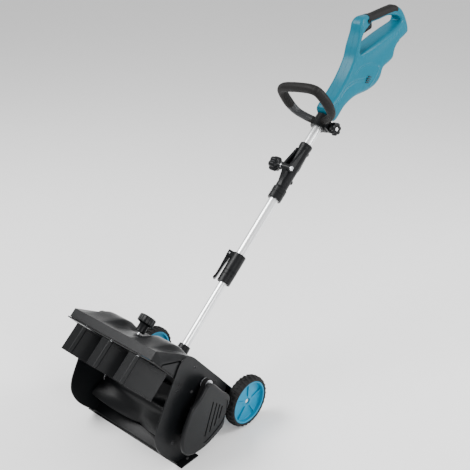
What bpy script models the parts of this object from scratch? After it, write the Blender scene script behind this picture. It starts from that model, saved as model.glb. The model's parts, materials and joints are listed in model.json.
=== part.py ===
"""Cordless snow blower: scoop head with rotor and turning vanes, folding telescopic pole, two handles.

The origin is the middle of the scraper plate's underside. The front faces -Y, +Z is up and +X is the
side with the drive belt. Distances called "back" run rearwards from the scraper's front edge.
"""
from math import cos, radians, sin, tau

import bmesh
import bpy
from mathutils import Vector
from mathutils.geometry import tessellate_polygon

# Driving dimensions, in metres.
GAP = 0.0003                # clearance between touching pieces
EDGE_Y = -0.028             # the scraper's front edge
SCRAPER = (0.330, 0.056, 0.003)
TILT = radians(39.7)        # the pole's rise above the floor
CHAMBER_HALF = 0.1434       # half the width between the end plates
PLATE = 0.003               # moulded wall and end plate thickness
CASE_OUT = 0.172            # outer face of the side cases
POD_OUT = 0.181             # outer face of the side pods
ROTOR_BACK, ROTOR_UP = 0.052, 0.080
ROTOR_R = 0.059
SCROLL_R = 0.065
LIP_BACK, LIP_UP = -0.048, 0.308
BACK_V = 0.060              # the flat back cover, measured from the chute wall
MOTOR_U, MOTOR_V, MOTOR_R = -0.190, 0.028, 0.0245
ROTOR_PULLEY_R, MOTOR_PULLEY_R = 0.0275, 0.011
WHEEL_BACK, WHEEL_R, WHEEL_W = 0.2225, 0.0655, 0.030
AXLE_R = 0.005
VANE_PITCH, VANE_U = 0.087, -0.0141
VANE_FRONT, VANE_REAR, VANE_TALL, VANE_T = 0.021, 0.075, 0.067, 0.003
VANE_TURN = radians(45)     # how far the vanes stand turned from X
CRANK = 0.009               # arm of the vane levers and of the knob's crank
KNOB_U = -0.081
POLE_BACK, POLE_UP = 0.4517, 0.3891
LOWER_R, LOWER_BORE = 0.0106, 0.0092
TUBE_R, TUBE_BORE = 0.0125, 0.0110
HINGE_S, HINGE_H = 0.182, 0.026
LOOP_S, LOOP_TURN = 0.3455, radians(12)
CLAMP_TURN = radians(-28)
GRIP_R = 0.0122
GRIP_MIDDLE = Vector((0.700, 0.0285))
GRIP_ALONG, GRIP_ACROSS = Vector((0.823, -0.568)), Vector((0.568, 0.823))
TRIGGER_HALF, TRIGGER_PIVOT = 0.0062, (0.6560, 0.0515)
BUTTON = (0.6400, 0.0700)
RAIL_HALF, RAIL_S = 0.0140, (0.6870, 0.7200)     # the battery rail under the rear casing

UP_POLE = Vector((0, cos(TILT), sin(TILT)))
OVER = Vector((0, -sin(TILT), cos(TILT)))
ALONG_X = Vector((1, 0, 0))

COLOURS = {
    "black_plastic": ((0.018, 0.020, 0.022), 0.42, 0.0),
    "grey_plastic": ((0.060, 0.064, 0.070), 0.45, 0.0),
    "blue_plastic": ((0.004, 0.260, 0.400), 0.38, 0.0),
    "wheel_blue": ((0.002, 0.340, 0.620), 0.35, 0.0),
    "tyre_rubber": ((0.015, 0.015, 0.015), 0.80, 0.0),
    "grip_rubber": ((0.030, 0.030, 0.032), 0.75, 0.0),
    "aluminium": ((0.80, 0.81, 0.82), 0.30, 1.0),
    "steel": ((0.55, 0.56, 0.58), 0.35, 1.0),
}

for old in list(bpy.data.objects):
    bpy.data.objects.remove(old, do_unlink=True)


# ---- places -------------------------------------------------------------------------------------
def at(x, back, up):
    """A point given by its distance behind the scraper's edge and its height."""
    return Vector((x, EDGE_Y + back, up))


def chute(x, u, v):
    """A point in the chute's frame: u towards the mouth lip along the chute, v out of its back."""
    return at(x, LIP_BACK, LIP_UP) + u * OVER + v * UP_POLE


def pole(x, s, h):
    """A point in the pole's frame: s along the pole, h above it."""
    return at(x, POLE_BACK, POLE_UP) + s * UP_POLE + h * OVER


def turned_pole(turn):
    """The pole's frame turned about the pole by an angle, as a function of x, s and h."""
    def place(x, s, h):
        return pole(x * cos(turn) - h * sin(turn), s, x * sin(turn) + h * cos(turn))
    return place


# ---- solids -------------------------------------------------------------------------------------
def finish_for(name):
    found = bpy.data.materials.get(name)
    if found:
        return found
    colour, roughness, metallic = COLOURS[name]
    made = bpy.data.materials.new(name)
    made.use_nodes = True
    shader = made.node_tree.nodes["Principled BSDF"]
    shader.inputs["Base Color"].default_value = (*colour, 1)
    shader.inputs["Roughness"].default_value = roughness
    shader.inputs["Metallic"].default_value = metallic
    return made


def solid(name, points, faces, finish, origin=None):
    """A closed mesh object with its faces turned outwards and its origin on its joint's axis."""
    shape = bmesh.new()
    verts = [shape.verts.new(p) for p in points]
    for face in faces:
        shape.faces.new([verts[i] for i in face])
    bmesh.ops.recalc_face_normals(shape, faces=shape.faces[:])
    origin = origin or Vector()
    bmesh.ops.translate(shape, verts=shape.verts[:], vec=-origin)
    mesh = bpy.data.meshes.new(name)
    shape.to_mesh(mesh)
    shape.free()
    mesh.shade_smooth()
    mesh.set_sharp_from_angle(angle=radians(32))
    made = bpy.data.objects.new(name, mesh)
    made.location = origin
    mesh.materials.append(finish_for(finish))
    bpy.context.scene.collection.objects.link(made)
    return made


def loft(name, rings, finish, loop=False, origin=None):
    """Joins rings of equal count. Open lofts get end caps; a loop joins its last ring to its first."""
    count = len(rings[0])
    points = [p for ring in rings for p in ring]
    faces = []
    for r in range(len(rings) if loop else len(rings) - 1):
        low, high = r * count, ((r + 1) % len(rings)) * count
        for i in range(count):
            j = (i + 1) % count
            faces.append((low + i, low + j, high + j, high + i))
    if not loop:
        faces.append(tuple(range(count)))
        faces.append(tuple(range(len(points) - count, len(points))))
    return solid(name, points, faces, finish, origin)


def prism(name, outline, place, low, high, finish, origin=None):
    """Extrudes an outline of (a, b) pairs along X between two x values."""
    rings = [[place(x, a, b) for a, b in outline] for x in (low, high)]
    return loft(name, rings, finish, origin=origin)


def circle(centre, radius, count=24, start=0.0, end=tau):
    """Points of an arc in a plane, without the last one where it closes on the first."""
    whole = abs(end - start - tau) < 1e-6
    steps = count if whole else count - 1
    return [(centre[0] + radius * cos(start + (end - start) * i / steps),
             centre[1] + radius * sin(start + (end - start) * i / steps)) for i in range(count)]


def turned(name, profile, centre, axis, finish, steps=18, loop=False, origin=None):
    """Turns (radius, distance along the axis) points about an axis. A loop profile leaves a bore."""
    axis = axis.normalized()
    side = axis.orthogonal().normalized()
    other = axis.cross(side)
    rings = []
    for radius, along in profile:
        middle = centre + along * axis
        rings.append([middle + radius * (cos(a) * side + sin(a) * other)
                      for a in (tau * i / steps for i in range(steps))])
    return loft(name, rings, finish, loop=loop, origin=origin)


def tube(name, outer, bore, start, end, centre, axis, finish, steps=18):
    profile = [(outer, start), (outer, end), (bore, end), (bore, start)]
    return turned(name, profile, centre, axis, finish, steps, loop=True)


def carve(target, others, operation):
    """Applies Booleans of one kind to an object and removes the pieces used."""
    for other in others:
        change = target.modifiers.new("change", "BOOLEAN")
        change.operation = operation
        change.solver = "EXACT"
        change.object = other
        bpy.context.view_layer.update()
        sight = bpy.context.evaluated_depsgraph_get()
        mesh = bpy.data.meshes.new_from_object(target.evaluated_get(sight))
        target.modifiers.clear()
        target.data = mesh
        bpy.data.objects.remove(other, do_unlink=True)
    target.data.name = target.name
    return target


def fuse(target, *others):
    return carve(target, others, "UNION")


def cut(target, *others):
    return carve(target, others, "DIFFERENCE")


def rod(radius, start, end, steps=16, finish="steel", name="rod"):
    """A plain round bar between two points."""
    axis = end - start
    return turned(name, [(radius, 0), (radius, axis.length)], start, axis, finish, steps)


def inset(outline, distance):
    """Moves a closed counter-clockwise outline inwards by a distance."""
    moved = []
    count = len(outline)
    for i, (a, b) in enumerate(outline):
        before = Vector(outline[i - 1])
        after = Vector(outline[(i + 1) % count])
        first = (Vector((a, b)) - before).normalized()
        second = (after - Vector((a, b))).normalized()
        inward = Vector((-(first + second).y, (first + second).x)).normalized()
        mitre = max(0.6, inward.dot(Vector((-first.y, first.x))))
        moved.append((a + inward.x * distance / mitre, b + inward.y * distance / mitre))
    return moved


def spline(points, per_span, closed=True):
    """A Catmull-Rom curve through points of any size, as plain tuples."""
    count = len(points)
    spans = count if closed else count - 1
    found = []
    for i in range(spans):
        if closed:
            p0, p1, p2, p3 = (points[(i + k) % count] for k in (-1, 0, 1, 2))
        else:
            p0, p1, p2, p3 = (points[min(max(i + k, 0), count - 1)] for k in (-1, 0, 1, 2))
        for k in range(per_span):
            t = k / per_span
            found.append(tuple(
                0.5 * (2 * b + (c - a) * t + (2 * a - 5 * b + 4 * c - d) * t * t
                       + (3 * b - a - 3 * c + d) * t ** 3)
                for a, b, c, d in zip(p0, p1, p2, p3)))
    if not closed:
        found.append(tuple(points[-1]))
    return found


def tray(name, outline, inner_x, outer_x, wall, round_r, finish):
    """An open-backed moulding: its outline, an outer face with a rounded edge, and a hollow inside."""
    side = 1 if outer_x > 0 else -1
    depth = abs(outer_x) - abs(inner_x)

    def ring(distance, drop):
        return [at(side * (abs(outer_x) - drop), a, b) for a, b in inset(outline, distance)]

    steps = (0, 45, 90)
    cap = len(steps)
    rings = [ring(0, depth)]
    rings += [ring(round_r * (1 - cos(radians(k))), round_r * (1 - sin(radians(k)))) for k in steps]
    inside = max(round_r - wall, 0.001)
    for k in reversed(steps):
        rings.append(ring(wall + inside * (1 - cos(radians(k))), wall + inside * (1 - sin(radians(k)))))
    rings.append(ring(wall, depth))
    points = [p for r in rings for p in r]
    count = len(outline)
    faces = []
    for r in range(len(rings)):
        if r == cap:
            continue        # between the outer face and the inner face lie two caps
        low, high = r * count, ((r + 1) % len(rings)) * count
        for i in range(count):
            j = (i + 1) % count
            faces.append((low + i, low + j, high + j, high + i))
    faces.append(tuple(range(cap * count, (cap + 1) * count)))
    faces.append(tuple(range((cap + 1) * count, (cap + 2) * count)))
    return solid(name, points, faces, finish)


# ---- head ---------------------------------------------------------------------------------------
def side_outline():
    """The cheek's outline: the mouth edge, the raised corner, the sloping back, the wheel arch, the sole."""
    keys = [(0.004, 0.0058), (0.048, 0.0064), (0.096, 0.0205), (0.130, 0.0330), (0.1480, 0.0460),
            (0.1500, 0.0650), (0.1560, 0.0900), (0.1720, 0.1180), (0.1665, 0.1420), (0.1260, 0.1922),
            (0.0940, 0.2306), (0.0670, 0.2620), (0.0470, 0.2730), (0.0250, 0.2640), (0.0080, 0.2380),
            (-0.0180, 0.1950), (-0.0400, 0.1560), (-0.0540, 0.1280), (-0.0585, 0.0990), (-0.0500, 0.0700),
            (-0.0340, 0.0440), (-0.0120, 0.0200)]
    return spline(keys, 2)


def pod_outline():
    keys = [(0.020, 0.034), (0.060, 0.030), (0.100, 0.040), (0.128, 0.054), (0.136, 0.082), (0.149, 0.108),
            (0.150, 0.128), (0.128, 0.152), (0.102, 0.184), (0.078, 0.196), (0.052, 0.174), (0.026, 0.158),
            (0.010, 0.134), (-0.005, 0.105), (-0.010, 0.078), (-0.002, 0.050)]
    return spline(keys, 2)


def scoop():
    """The snow chamber's wall: a sole, a scroll round the rotor and a straight chute up to the lip."""
    centre = (ROTOR_BACK, ROTOR_UP)

    def wall(radius):
        return circle(centre, radius, 17, radians(-112), TILT)
    inner_v = SCROLL_R - (SCROLL_R + PLATE + GAP)
    lip_in = chute(0, -0.004, inner_v)
    lip_out = chute(0, -0.004, -GAP)
    inner = [(0.003, 0.0068), (0.018, 0.0128)] + wall(SCROLL_R) + [(lip_in.y - EDGE_Y, lip_in.z)]
    outer = [(0.003, 0.0036), (0.019, 0.0092)] + wall(SCROLL_R + PLATE) + [(lip_out.y - EDGE_Y, lip_out.z)]
    made = prism("scoop", inner + outer[::-1], at, -CHAMBER_HALF, CHAMBER_HALF, "black_plastic")
    holes = [rod(0.0034, chute(x, VANE_U, -0.02), chute(x, VANE_U, 0.02)) for x in vane_places()]
    return cut(made, *holes)


def vane_places():
    return (-VANE_PITCH, 0.0, VANE_PITCH)


def motor_place(x):
    return chute(x, MOTOR_U, MOTOR_V)


def head_shell():
    scoop()
    x, y, z = SCRAPER
    blade = [(0.0, 0.0), (y, 0.0), (y, z), (0.006, z)]
    prism("scraper_plate", blade, at, -x / 2, x / 2, "black_plastic")
    for side, word in ((-1, "left"), (1, "right")):
        inner, outer = side * (CHAMBER_HALF + GAP), side * (CHAMBER_HALF + GAP + PLATE)
        plate = prism("end_plate_" + word, side_outline(), at, inner, outer, "black_plastic")
        hole = (at(side * 0.12, ROTOR_BACK, ROTOR_UP), at(side * 0.16, ROTOR_BACK, ROTOR_UP))
        cutters = [rod(0.0112, *hole, 24)]
        if side > 0:
            cutters.append(rod(0.0050, motor_place(0.12), motor_place(0.16)))
        cut(plate, *cutters)
        tray("side_case_" + word, side_outline(), outer + side * GAP, side * CASE_OUT, 0.0025, 0.020,
             "black_plastic")
        tray("side_pod_" + word, pod_outline(), side * (CASE_OUT + GAP), side * POD_OUT, 0.0022, 0.006,
             "black_plastic")
        seat = at(side * (CHAMBER_HALF + GAP), ROTOR_BACK, ROTOR_UP)
        tube("bearing_" + word, 0.0109, 0.0053, 0, 0.007, seat, side * ALONG_X, "steel")
    hood()
    back_cover()


def hood():
    """The roof over the chute: a front lip band, a ramp with two humps and a valley for the knob."""
    end = ((-0.030, GAP), (-0.030, 0.0065), (-0.052, 0.0200), (-0.078, 0.0360), (-0.100, 0.0480),
           (-0.1277, 0.0580))
    front = ((0.0, GAP), (0.0, 0.0215))
    lip = front + ((-0.034, 0.0330), (-0.076, 0.0480), (-0.100, 0.0545), (-0.1277, 0.0600))
    hump = front + ((-0.030, 0.0360), (-0.068, 0.0570), (-0.100, 0.0640), (-0.1277, 0.0600))
    valley = front + ((-0.034, 0.0310), (-0.076, 0.0440), (-0.100, 0.0480), (-0.1277, 0.0600))
    half = ((CHAMBER_HALF, end), (0.134, lip), (0.121, lip), (0.106, hump), (0.052, hump), (0.034, valley))
    stations = [(-x, shape) for x, shape in half] + [(0.0, valley)] + list(reversed(half))
    rings = []
    for x, shape in stations:
        edge, corner, back = shape[0], shape[1], shape[-1]
        under = [(edge[0] - PLATE, edge[1]), (corner[0] - PLATE, corner[1] - PLATE)]
        under += [(u - 0.4 * PLATE, v - PLATE) for u, v in shape[2:-1]]
        under.append((back[0], back[1] - PLATE))
        rings.append([chute(x, u, v) for u, v in list(shape) + under[::-1]])
    made = loft("hood", rings, "black_plastic")
    for side in (-1, 1):
        low, high = sorted((side * (CHAMBER_HALF - PLATE), side * CHAMBER_HALF))
        fuse(made, prism("end", list(end) + [(end[-1][0], GAP)], chute, low, high, "black_plastic"))
    cut(made, rod(0.0045, chute(0, KNOB_U, 0.02), chute(0, KNOB_U, 0.08)))


def back_cover():
    """The rear shell behind the scroll, from the hood's edge round the motor bay to the sole."""
    top = chute(0, -0.128, BACK_V)
    knee = chute(0, -0.310, BACK_V)
    keys = [(top.y - EDGE_Y, top.z), (knee.y - EDGE_Y, knee.z), (0.2040, 0.0900), (0.2030, 0.0700),
            (0.1950, 0.0550), (0.1750, 0.0440), (0.1500, 0.0360), (0.1200, 0.0270), (0.0870, 0.0170)]
    outer = [keys[0]] + spline(keys[1:], 2, closed=False)
    inner = []
    for i, (a, b) in enumerate(outer):
        before, after = Vector(outer[max(i - 1, 0)]), Vector(outer[min(i + 1, len(outer) - 1)])
        run = (after - before).normalized()
        inner.append((a + run.y * PLATE, b - run.x * PLATE))
    prism("back_cover", outer + inner[::-1], at, -CHAMBER_HALF, CHAMBER_HALF, "black_plastic")


def rotor():
    """Two swept paddles on a core, set as a shallow V so that snow is drawn to the middle."""
    middle = at(0, ROTOR_BACK, ROTOR_UP)
    shape = []
    for half_turn in (0, 1):
        base = tau / 2 * half_turn
        tip = ROTOR_R
        for angle, radius in ((-60, 0.014), (-30, 0.014), (-12, 0.018), (0, 0.034), (8, 0.048), (12, tip),
                              (17, tip), (16, 0.046), (14, 0.032), (26, 0.018), (50, 0.014), (90, 0.014)):
            shape.append((base + radians(angle), radius))
    rings = []
    for k in range(-6, 7):
        x = 0.136 * k / 6
        twist = radians(50) * (1 - abs(k) / 6)
        rings.append([middle + Vector((x, r * cos(a + twist), r * sin(a + twist))) for a, r in shape])
    made = loft("rotor", rings, "black_plastic", origin=middle)
    cut(made, rod(0.0053, middle - 0.16 * ALONG_X, middle + 0.16 * ALONG_X))
    rod(0.0050, middle - 0.1500 * ALONG_X, middle + 0.1680 * ALONG_X, name="rotor_shaft")


def drive():
    """The motor behind the scroll and the belt drive to the rotor inside the right side case."""
    can = [(0.012, 0), (MOTOR_R, 0.003), (MOTOR_R, 0.074), (0.010, 0.078)]
    turned("motor", can, motor_place(0.065), ALONG_X, "steel")
    small = [(0.0040, 0), (0.0040, 0.0065), (0.0125, 0.0065), (0.0125, 0.0078), (MOTOR_PULLEY_R, 0.0082),
             (MOTOR_PULLEY_R, 0.0200), (0.0125, 0.0204), (0.0125, 0.0215)]
    turned("motor_pulley", small, motor_place(CHAMBER_HALF + GAP), ALONG_X, "steel", origin=motor_place(0.15))
    hub = at(0.1503, ROTOR_BACK, ROTOR_UP)
    r = ROTOR_PULLEY_R
    big = [(0.0053, 0.0008), (r + 0.002, 0.0008), (r + 0.002, 0.0020), (r, 0.0024), (r, 0.0134),
           (r + 0.002, 0.0138), (r + 0.002, 0.0150), (0.0053, 0.0150)]
    turned("rotor_pulley", big, hub, ALONG_X, "black_plastic", 24, loop=True, origin=hub)
    first = Vector((ROTOR_BACK, ROTOR_UP))
    motor = motor_place(0)
    second = Vector((motor.y - EDGE_Y, motor.z))
    run = second - first
    base = run.angle_signed(Vector((1, 0)))
    spread = radians(90) - (r - MOTOR_PULLEY_R) / run.length

    def loop(extra):
        big_arc = circle(first, r + extra, 20, base + spread, base + tau - spread)
        small_arc = circle(second, MOTOR_PULLEY_R + extra, 12, base - spread, base + spread)
        return big_arc + small_arc
    rings = [[at(x, a, b) for a, b in loop(e)] for x, e in
             ((0.1534, GAP), (0.1626, GAP), (0.1626, 0.0024), (0.1534, 0.0024))]
    loft("drive_belt", rings, "tyre_rubber", loop=True)


def vane(number, x):
    """A guide vane: a plate with a pivot barrel, a spindle through the chute wall and a lever on top."""
    across = cos(VANE_TURN) * ALONG_X - sin(VANE_TURN) * OVER
    thick = sin(VANE_TURN) * ALONG_X + cos(VANE_TURN) * OVER
    pivot = chute(x, VANE_U, 0)
    half = VANE_T / 2
    outline = [(-VANE_FRONT, -half), (-0.0055, -half), (-0.0035, -0.0036), (0.0035, -0.0036), (0.0055, -half),
               (VANE_REAR, -half), (VANE_REAR, half), (0.0055, half), (0.0035, 0.0036), (-0.0035, 0.0036),
               (-0.0055, half), (-VANE_FRONT, half)]
    top, bottom = -0.0046, -0.0046 - VANE_TALL
    rings = [[pivot + a * across + b * thick + v * UP_POLE for a, b in outline] for v in (top, bottom)]
    made = loft("vane_%d" % number, rings, "black_plastic", origin=pivot)
    arm = cos(radians(45)) * ALONG_X + sin(radians(45)) * OVER
    fuse(made, rod(0.0030, pivot - 0.010 * UP_POLE, pivot + 0.0040 * UP_POLE),
         bar_between(pivot, pivot + CRANK * arm, 0.003, 0.0030, 0.0065),
         rod(0.0020, pivot + CRANK * arm + 0.005 * UP_POLE, pivot + CRANK * arm + 0.012 * UP_POLE))


def bar_between(start, end, half, low, high, finish="steel"):
    """A flat round-ended link lying across the pole's direction, between two heights of the chute frame."""
    run = (end - start).normalized()
    side = run.cross(UP_POLE)
    ring = []
    for centre, turn in ((end, 0), (start, tau / 2)):
        for k in range(9):
            a = turn - tau / 4 + tau / 2 * k / 8
            ring.append(centre + half * (cos(a) * run + sin(a) * side))
    return loft("link", [[p + v * UP_POLE for p in ring] for v in (low, high)], finish)


def vane_drive():
    """The tie plate joins the three vane levers to the crank under the knob, so all four turn together."""
    arm = CRANK * (cos(radians(45)) * ALONG_X + sin(radians(45)) * OVER)
    low, high = 0.0075, 0.0105
    ends = [chute(x, VANE_U, 0) + arm for x in vane_places()]
    crank_pin = chute(0, KNOB_U, 0) + arm
    plate = bar_between(ends[0], ends[2], 0.0030, low, high)
    plate.name = "tie_plate"
    fuse(plate, bar_between(ends[1], crank_pin, 0.0027, low + 0.0002, high - 0.0002))
    cut(plate, *[rod(0.0023, p, p + 0.02 * UP_POLE) for p in ends + [crank_pin]])
    middle = chute(0, KNOB_U, 0)
    shaft = rod(0.0030, middle + 0.0055 * UP_POLE, middle + 0.0865 * UP_POLE, name="knob_crank")
    fuse(shaft, bar_between(middle, middle + arm, 0.0030, 0.0030, 0.0065),
         rod(0.0020, middle + arm + 0.005 * UP_POLE, middle + arm + 0.012 * UP_POLE))
    lobes = 9
    rings = []
    for radius, v in ((0.0118, 0.0500), (0.0118, 0.0700), (0.0195, 0.0722), (0.0210, 0.0740),
                      (0.0210, 0.0880), (0.0190, 0.0905)):
        ring = []
        for k in range(lobes * 4):
            a = tau * k / (lobes * 4)
            dent = 0.0 if radius < 0.015 else 0.0011 * (1 + cos(lobes * a)) / 2
            ring.append(middle + v * UP_POLE + (radius - dent) * (cos(a) * ALONG_X + sin(a) * OVER))
        rings.append(ring)
    knob = loft("vane_knob", rings, "black_plastic", origin=middle)
    cut(knob, rod(0.0033, middle + 0.04 * UP_POLE, middle + 0.0872 * UP_POLE))
    tube("shaft_clip", 0.0070, 0.0033, 0.0375, 0.0392, middle, UP_POLE, "steel", 16)


def wheels():
    centre = at(0, WHEEL_BACK, WHEEL_R)
    rod(AXLE_R, centre - 0.1700 * ALONG_X, centre + 0.1700 * ALONG_X, 20, name="axle")
    inner = 0.151
    for side, word in ((-1, "left"), (1, "right")):
        way = side * ALONG_X
        shoulder = [(0.0556, 0.0008), (0.0615, 0), (0.0648, 0.004), (WHEEL_R, 0.009),
                    (WHEEL_R, WHEEL_W - 0.009), (0.0648, WHEEL_W - 0.004), (0.0615, WHEEL_W),
                    (0.0556, WHEEL_W - 0.0008)]
        face = centre + inner * way
        turned("tyre_" + word, shoulder, face, way, "tyre_rubber", 26, loop=True, origin=centre)
        disc = [(0.0053, 0.0), (0.0120, 0.0), (0.0120, 0.0090), (0.0505, 0.0090), (0.0505, 0.0020),
                (0.0553, 0.0020), (0.0553, 0.0280), (0.0505, 0.0280), (0.0490, 0.0140), (0.0130, 0.0140),
                (0.0120, 0.0210), (0.0085, 0.0210), (0.0085, 0.0145), (0.0053, 0.0145)]
        turned("wheel_" + word, disc, centre + inner * way, way, "wheel_blue", 26, loop=True, origin=centre)
        tube("axle_clip_" + word, 0.0080, 0.0053, 0.0149, 0.0175, centre + inner * way, way, "steel", 16)
        ring = circle((WHEEL_BACK, WHEEL_R), 0.0095, 14, radians(-110), radians(110))
        outline = ring + [(0.2048, 0.0900), (0.2048, 0.0620)]
        low, high = sorted((side * 0.118, side * 0.134))
        ear = prism("axle_bracket_" + word, outline, at, low, high, "black_plastic")
        cut(ear, rod(0.0053, centre + 0.10 * way, centre + 0.15 * way, 20))


# ---- pole ---------------------------------------------------------------------------------------
def lower_pole():
    foot = pole(0, 0, 0)
    socket = [(0.0205, -0.3757), (0.0205, -0.3700), (0.0165, -0.3660), (0.0150, -0.3440), (0.0109, -0.3440),
              (0.0109, -0.3757)]
    turned("pole_socket", socket, foot, UP_POLE, "black_plastic", loop=True)
    tube("lower_tube", LOWER_R, LOWER_BORE, -0.3740, -0.0550, foot, UP_POLE, "aluminium")
    tube("middle_tube", TUBE_R, TUBE_BORE, -0.1270, 0.1640, foot, UP_POLE, "aluminium")
    tube("clamp_bush", 0.0150, 0.0109, -0.1600, -0.1275, foot, UP_POLE, "black_plastic")
    collar = [(0.0153, -0.1620), (0.0178, -0.1620), (0.0182, -0.1200), (0.0178, -0.0780), (0.0128, -0.0780),
              (0.0128, -0.1260), (0.0153, -0.1272)]
    made = turned("clamp_collar", collar, foot, UP_POLE, "black_plastic", loop=True)
    frame = turned_pole(CLAMP_TURN)
    for low, high in ((-0.0122, -0.0083), (0.0083, 0.0122)):
        fuse(made, block(frame, (-0.0300, -0.0125), (-0.0960, -0.0800), (low, high)))
    cut(made, rod(0.0023, frame(-0.0245, -0.088, -0.02), frame(-0.0245, -0.088, 0.02)))
    rod(0.0020, frame(-0.0245, -0.088, -0.0130), frame(-0.0245, -0.088, 0.0130), 12, name="clamp_pin")
    outline = [(-0.0200, -0.0830), (-0.0275, -0.0830), (-0.0300, -0.0900), (-0.0290, -0.1150),
               (-0.0275, -0.1480), (-0.0300, -0.1600), (-0.0270, -0.1640), (-0.0225, -0.1560),
               (-0.0210, -0.1200), (-0.0192, -0.1000)]
    rings = [[frame(a, b, h) for a, b in outline] for h in (-0.0080, 0.0080)]
    lever = loft("clamp_lever", rings, "black_plastic", origin=frame(-0.0245, -0.088, 0))
    cut(lever, rod(0.0023, frame(-0.0245, -0.088, -0.02), frame(-0.0245, -0.088, 0.02)))


def block(place, xs, ss, hs):
    """A box given by its limits in a placed frame."""
    outline = [(ss[0], hs[0]), (ss[1], hs[0]), (ss[1], hs[1]), (ss[0], hs[1])]
    return prism("block", outline, place, xs[0], xs[1], "black_plastic")


def hinge():
    """The fold: two sleeves that butt together under a pivot with a star knob."""
    foot = pole(0, 0, 0)
    lower = [(0.0182, 0.0950), (0.0190, 0.0970), (0.0190, 0.1110), (0.0178, 0.1120), (0.0178, 0.1140),
             (0.0190, 0.1150), (0.0190, 0.1290), (0.0165, 0.1320), (0.0165, 0.1797), (0.0128, 0.1797),
             (0.0128, 0.0950)]
    made = turned("hinge_lower", lower, foot, UP_POLE, "black_plastic", loop=True)
    lug = [(0.148, 0.014), (0.1730, 0.014), (0.1745, 0.0180)]
    lug += circle((HINGE_S, HINGE_H), 0.0088, 11, radians(-90), radians(140))
    fuse(made, prism("lug", lug, pole, -0.0065, 0.0065, "black_plastic"),
         block(pole, (-0.003, 0.003), (0.150, 0.178), (-0.0235, -0.0140)))
    upper = [(0.0165, 0.1803), (0.0165, 0.2560), (0.0175, 0.2590), (0.0175, 0.2700), (0.0128, 0.2700),
             (0.0128, 0.1803)]
    pivot = pole(0, HINGE_S, HINGE_H)
    top = turned("hinge_upper", upper, foot, UP_POLE, "black_plastic", loop=True, origin=pivot)
    ear = circle((HINGE_S, HINGE_H), 0.0088, 11, radians(40), radians(270))
    ear += [(0.1880, 0.0150), (0.1900, 0.0114), (0.2300, 0.0114), (0.2300, 0.0130)]
    for low, high in ((-0.0135, -0.0070), (0.0070, 0.0135)):
        fuse(top, prism("ear", ear, pole, low, high, "black_plastic"))
    rib = [(0.1950, -0.0140), (0.1950, -0.0235), (0.2050, -0.0270), (0.2520, -0.0235), (0.2600, -0.0140)]
    fuse(top, prism("rib", rib, pole, -0.003, 0.003, "black_plastic"))
    for sleeve in (made, top):
        cut(sleeve, rod(0.0033, pivot - 0.03 * ALONG_X, pivot + 0.03 * ALONG_X))
    bolt = [(0.0030, -0.0415), (0.0030, 0.0140), (0.0062, 0.0140), (0.0062, 0.0180)]
    turned("hinge_bolt", bolt, pivot, ALONG_X, "steel", 12)
    tube("hinge_washer", 0.0085, 0.0033, 0.0138, 0.0155, pivot, -ALONG_X, "aluminium", 20)
    star("hinge_knob", pivot, -ALONG_X, 0.0158, 0.0480, 0.0200, 6)


def star(name, centre, axis, start, end, radius, lobes):
    """A lobed hand knob with a blind hole for its bolt."""
    side = axis.orthogonal().normalized()
    other = axis.cross(side)
    rings = []
    depth = end - start
    for r, along in ((0.011, start), (0.011, start + 0.25 * depth), (radius, start + 0.4 * depth),
                     (radius, end - 0.1 * depth), (0.82 * radius, end)):
        ring = []
        for k in range(lobes * 6):
            a = tau * k / (lobes * 6)
            dent = 0.0 if r < 0.012 else 0.13 * radius * (1 - cos(lobes * a)) / 2
            ring.append(centre + along * axis + (r - dent) * (cos(a) * side + sin(a) * other))
        rings.append(ring)
    made = loft(name, rings, "black_plastic", origin=centre)
    return cut(made, rod(0.0034, centre + (start - 0.01) * axis, centre + (end - 0.0055) * axis))


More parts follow.
